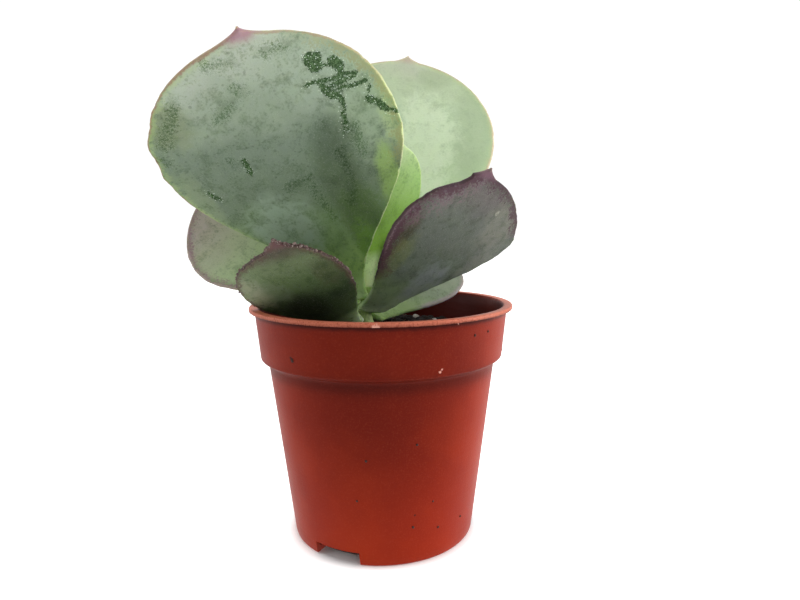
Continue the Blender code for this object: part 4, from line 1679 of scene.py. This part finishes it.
def inner_skin() -> LeafSkin:
    """The finish of both young inner leaves: bright, fresh and little bloomed."""
    return LeafSkin(
        # The near-white butt stops are partly the young leaves' own pale bases and partly painted light,
        # lifting butts that lie in shade.
        under=((0.0, tone(238, 250, 206)), (0.16, tone(232, 250, 196)), (0.3, tone(146, 190, 78)),
               (0.5, tone(126, 164, 72)), (0.75, tone(148, 182, 108)), (1.0, tone(172, 192, 146))),
        upper=((0.0, tone(238, 250, 206)), (0.16, tone(232, 250, 196)), (0.3, tone(130, 176, 60)),
               (0.5, tone(126, 164, 68)), (0.75, tone(158, 186, 124)), (1.0, tone(180, 200, 158))),
        mottling=0.35,
        specks=0.1,
        rims=(Rim(tone(190, 208, 150), 0.6, 0.6, Half.BOTH, 0.2, 1.2),),
        point_colour=tone(176, 160, 140),
        flesh=0.25,
        roughness=0.55,
    )


def inner_right_leaf() -> Leaf:
    """The young leaf that rises on the right of the middle."""
    return Leaf("inner_right_leaf", "inner_leaf", inner_skin(), heading=-54, rise=80, length=30.0,
                width=22.5, droop=14, butt=0.13, waist=2.6, cup=14, scallop=0.1, buckle=0.2, seed=7)


def inner_left_leaf() -> Leaf:
    """The smaller young leaf that faces it."""
    return Leaf("inner_left_leaf", "inner_leaf", inner_skin(), heading=120, rise=83, length=20.0, width=9.5,
                droop=5, roll=-15, butt=0.4, cup=18, scallop=0.08, buckle=0.15, seed=8)


@dataclass
class CorkyMargin:
    """Small corky warts along the outer margin of one leaf."""

    leaf: Leaf
    count: int = 150
    start: float = 0.5
    smallest: float = 0.12
    largest: float = 0.34
    seed: int = 9

    def build(self, blade: bpy.types.Object) -> None:
        """Grow the warts on the blade's margin.

        Args:
            blade: The leaf's finished blade.
        """
        mesh = blade.data
        runs, rims = (np.zeros(len(mesh.vertices), np.float32) for _ in range(2))
        mesh.attributes["run"].data.foreach_get("value", runs)
        mesh.attributes["rim"].data.foreach_get("value", rims)
        edge = np.flatnonzero((rims < 0.12) & (runs > self.leaf.length * self.start))
        rng = random.Random(self.seed)
        chosen = rng.sample(sorted(edge.tolist()), min(self.count, len(edge)))
        host = host_of([mesh.vertices[index].co / MM for index in chosen])
        g = Graph(self.leaf.node + "_cork")
        grain, cloud = g.noise(4.0, 3.0), g.noise(0.8, 2.0)
        brown = g.mix(g.step(cloud, 0.4, 0.62), tone(84, 58, 56), tone(132, 112, 104))
        g.fix("Base Color", g.mix(g.step(grain, 0.56, 0.7, 0.0, 0.7), brown, tone(196, 186, 176)))
        g.fix("Roughness", 0.7)
        g.bump(grain, 0.08)
        grains = Grains(self.leaf.node + "_warts", g.material, self.smallest, self.largest, 0.8, 0.12,
                        seed=self.seed, fine=1)
        settle(grains.harvest(host, self.leaf.node + "_corky_margin"), self.leaf.slot)


# ------------------------------------------------------------------------ studio


@dataclass
class Studio:
    """A white floor, soft light and the viewer's place.

    Lengths are metres, but for the foot, the pot's radius on the floor, in millimetres.
    The floor's glow is what the viewer sees of it, and its near glow lights the pot.
    """

    place: tuple[float, float, float] = (0.0, -0.127, 0.0651)
    pan: float = 1.8
    pitch: float = 7.2
    roll: float = -0.5
    lens: float = 27.0
    floor_half: float = 3.0
    white: Colour = (0.94, 0.94, 0.94)
    bounce: Colour = (0.8, 0.8, 0.8)
    glow: float = 0.6
    near_glow: float = 0.5
    foot: float = 19.25
    sky: float = 1.0
    front_sky: float = 0.05
    seen_sky: float = 1.05
    dim_from: float = -0.55
    bright_from: float = 0.3
    lights: tuple[tuple[str, tuple[float, float, float], float, float, float], ...] = (
        ("top_light", (-0.05, 0.08, 0.55), 0.05, 0.6, 1.6),
        ("left_light", (-0.55, 0.0, 0.2), 0.05, 0.4, 1.0),
        ("right_light", (0.55, -0.05, 0.2), 0.05, 0.4, 3.0),
        ("front_fill", (0.12, -0.55, 0.22), 0.06, 0.4, 1.0))

    def build(self) -> None:
        """Set up the floor, the light and the camera."""
        self.camera()
        self.floor()
        self.world()
        for light in self.lights:
            self.softbox(*light)
        bpy.context.scene.view_settings.view_transform = "Standard"

    def camera(self) -> None:
        """Stand the camera at the viewer's place."""
        pan, pitch, roll = (math.radians(angle) for angle in (self.pan, self.pitch, self.roll))
        ahead = Vector((math.sin(pan) * math.cos(pitch), math.cos(pan) * math.cos(pitch), -math.sin(pitch)))
        level = Vector((math.cos(pan), -math.sin(pan), 0.0))
        above = level.cross(ahead)
        right = level * math.cos(roll) + above * math.sin(roll)
        up = above * math.cos(roll) - level * math.sin(roll)
        data = bpy.data.cameras.new("camera")
        data.lens, data.sensor_width = self.lens, 36.0
        data.clip_start, data.clip_end = 0.005, 20.0
        camera = bpy.data.objects.new("camera", data)
        turned = Matrix((right, up, -ahead)).transposed()
        camera.matrix_world = Matrix.Translation(self.place) @ turned.to_4x4()
        bpy.context.scene.collection.objects.link(camera)
        bpy.context.scene.camera = camera

    def floor(self) -> None:
        """Lay the pale floor."""
        half = self.floor_half / MM
        corners = [(-half, -half, 0.0), (half, -half, 0.0), (half, half, 0.0), (-half, half, 0.0)]
        g = Graph("pale_floor")
        seen = g.tree.nodes.new("ShaderNodeLightPath").outputs["Is Camera Ray"]
        g.fix("Base Color", g.mix(seen, self.bounce, self.white))
        g.fix("Roughness", 0.9)
        g.fix("Specular IOR Level", 0.1)
        g.fix("Emission Color", self.white)
        out = g.near((0.0, 0.0, 0.0))
        seen_glow = g.times(seen, g.step(out, self.foot - 1.0, self.foot + 2.5, 0.0, self.glow))
        near = g.step(out, self.foot + 8.0, self.foot + 45.0, self.near_glow, 0.0)
        g.fix("Emission Strength", g.math("ADD", seen_glow, g.times(g.scaled(seen, -1.0, 1.0), near)))
        mesh_piece("floor", np.array(corners), [(0, 1, 2, 3)], g.material)

    def world(self) -> None:
        """Surround it with white, dimmer from the viewer's side."""
        world = bpy.data.worlds.new("white_room")
        world.use_nodes = True
        tree = world.node_tree
        back = tree.nodes["Background"]
        place = tree.nodes.new("ShaderNodeTexCoord")
        parts = tree.nodes.new("ShaderNodeSeparateXYZ")
        tree.links.new(place.outputs["Generated"], parts.inputs[0])
        fade = tree.nodes.new("ShaderNodeMapRange")
        for key, value in (("From Min", self.dim_from), ("From Max", self.bright_from),
                           ("To Min", self.front_sky), ("To Max", self.sky)):
            fade.inputs[key].default_value = value
        tree.links.new(parts.outputs[1], fade.inputs["Value"])
        seen = tree.nodes.new("ShaderNodeLightPath")
        plain = tree.nodes.new("ShaderNodeMix")
        plain.inputs[3].default_value = self.seen_sky
        tree.links.new(seen.outputs["Is Camera Ray"], plain.inputs[0])
        tree.links.new(fade.outputs[0], plain.inputs[2])
        back.inputs["Color"].default_value = (1.0, 1.0, 1.0, 1.0)
        tree.links.new(plain.outputs[0], back.inputs["Strength"])
        bpy.context.scene.world = world

    def softbox(self, name: str, place: Sequence[float], aim_height: float, size: float,
                watts: float) -> None:
        """Hang a square softbox.

        Args:
            name: Its name.
            place: Where it hangs.
            aim_height: Height of the point of the pot's axis that it looks at.
            size: Its side.
            watts: Its power.
        """
        data = bpy.data.lights.new(name, "AREA")
        data.shape, data.size, data.energy = "SQUARE", size, watts
        light = bpy.data.objects.new(name, data)
        aim = (Vector((0.0, 0.0, aim_height)) - Vector(place)).to_track_quat("-Z", "Y")
        light.matrix_world = Matrix.Translation(place) @ aim.to_matrix().to_4x4()
        bpy.context.scene.collection.objects.link(light)


# -------------------------------------------------------------------------- main

def main() -> None:
    """Build the plant, its pot and the studio."""
    logging.basicConfig(level=logging.INFO, format="%(name)s: %(message)s")
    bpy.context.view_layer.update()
    Studio().build()
    pot = NurseryPot()
    pot.build()
    PottingSoil().build(pot)
    Stem().build()
    for make in (large_front_leaf, large_back_leaf, right_leaf, left_leaf, low_front_leaf, low_back_leaf,
                 inner_right_leaf, inner_left_leaf):
        leaf = make()
        blade = leaf.build()
        settle(blade, leaf.slot, leaf.node)
        if leaf.node == "low_front_leaf":
            CorkyMargin(leaf).build(blade)


if __name__ == "__main__":
    main()
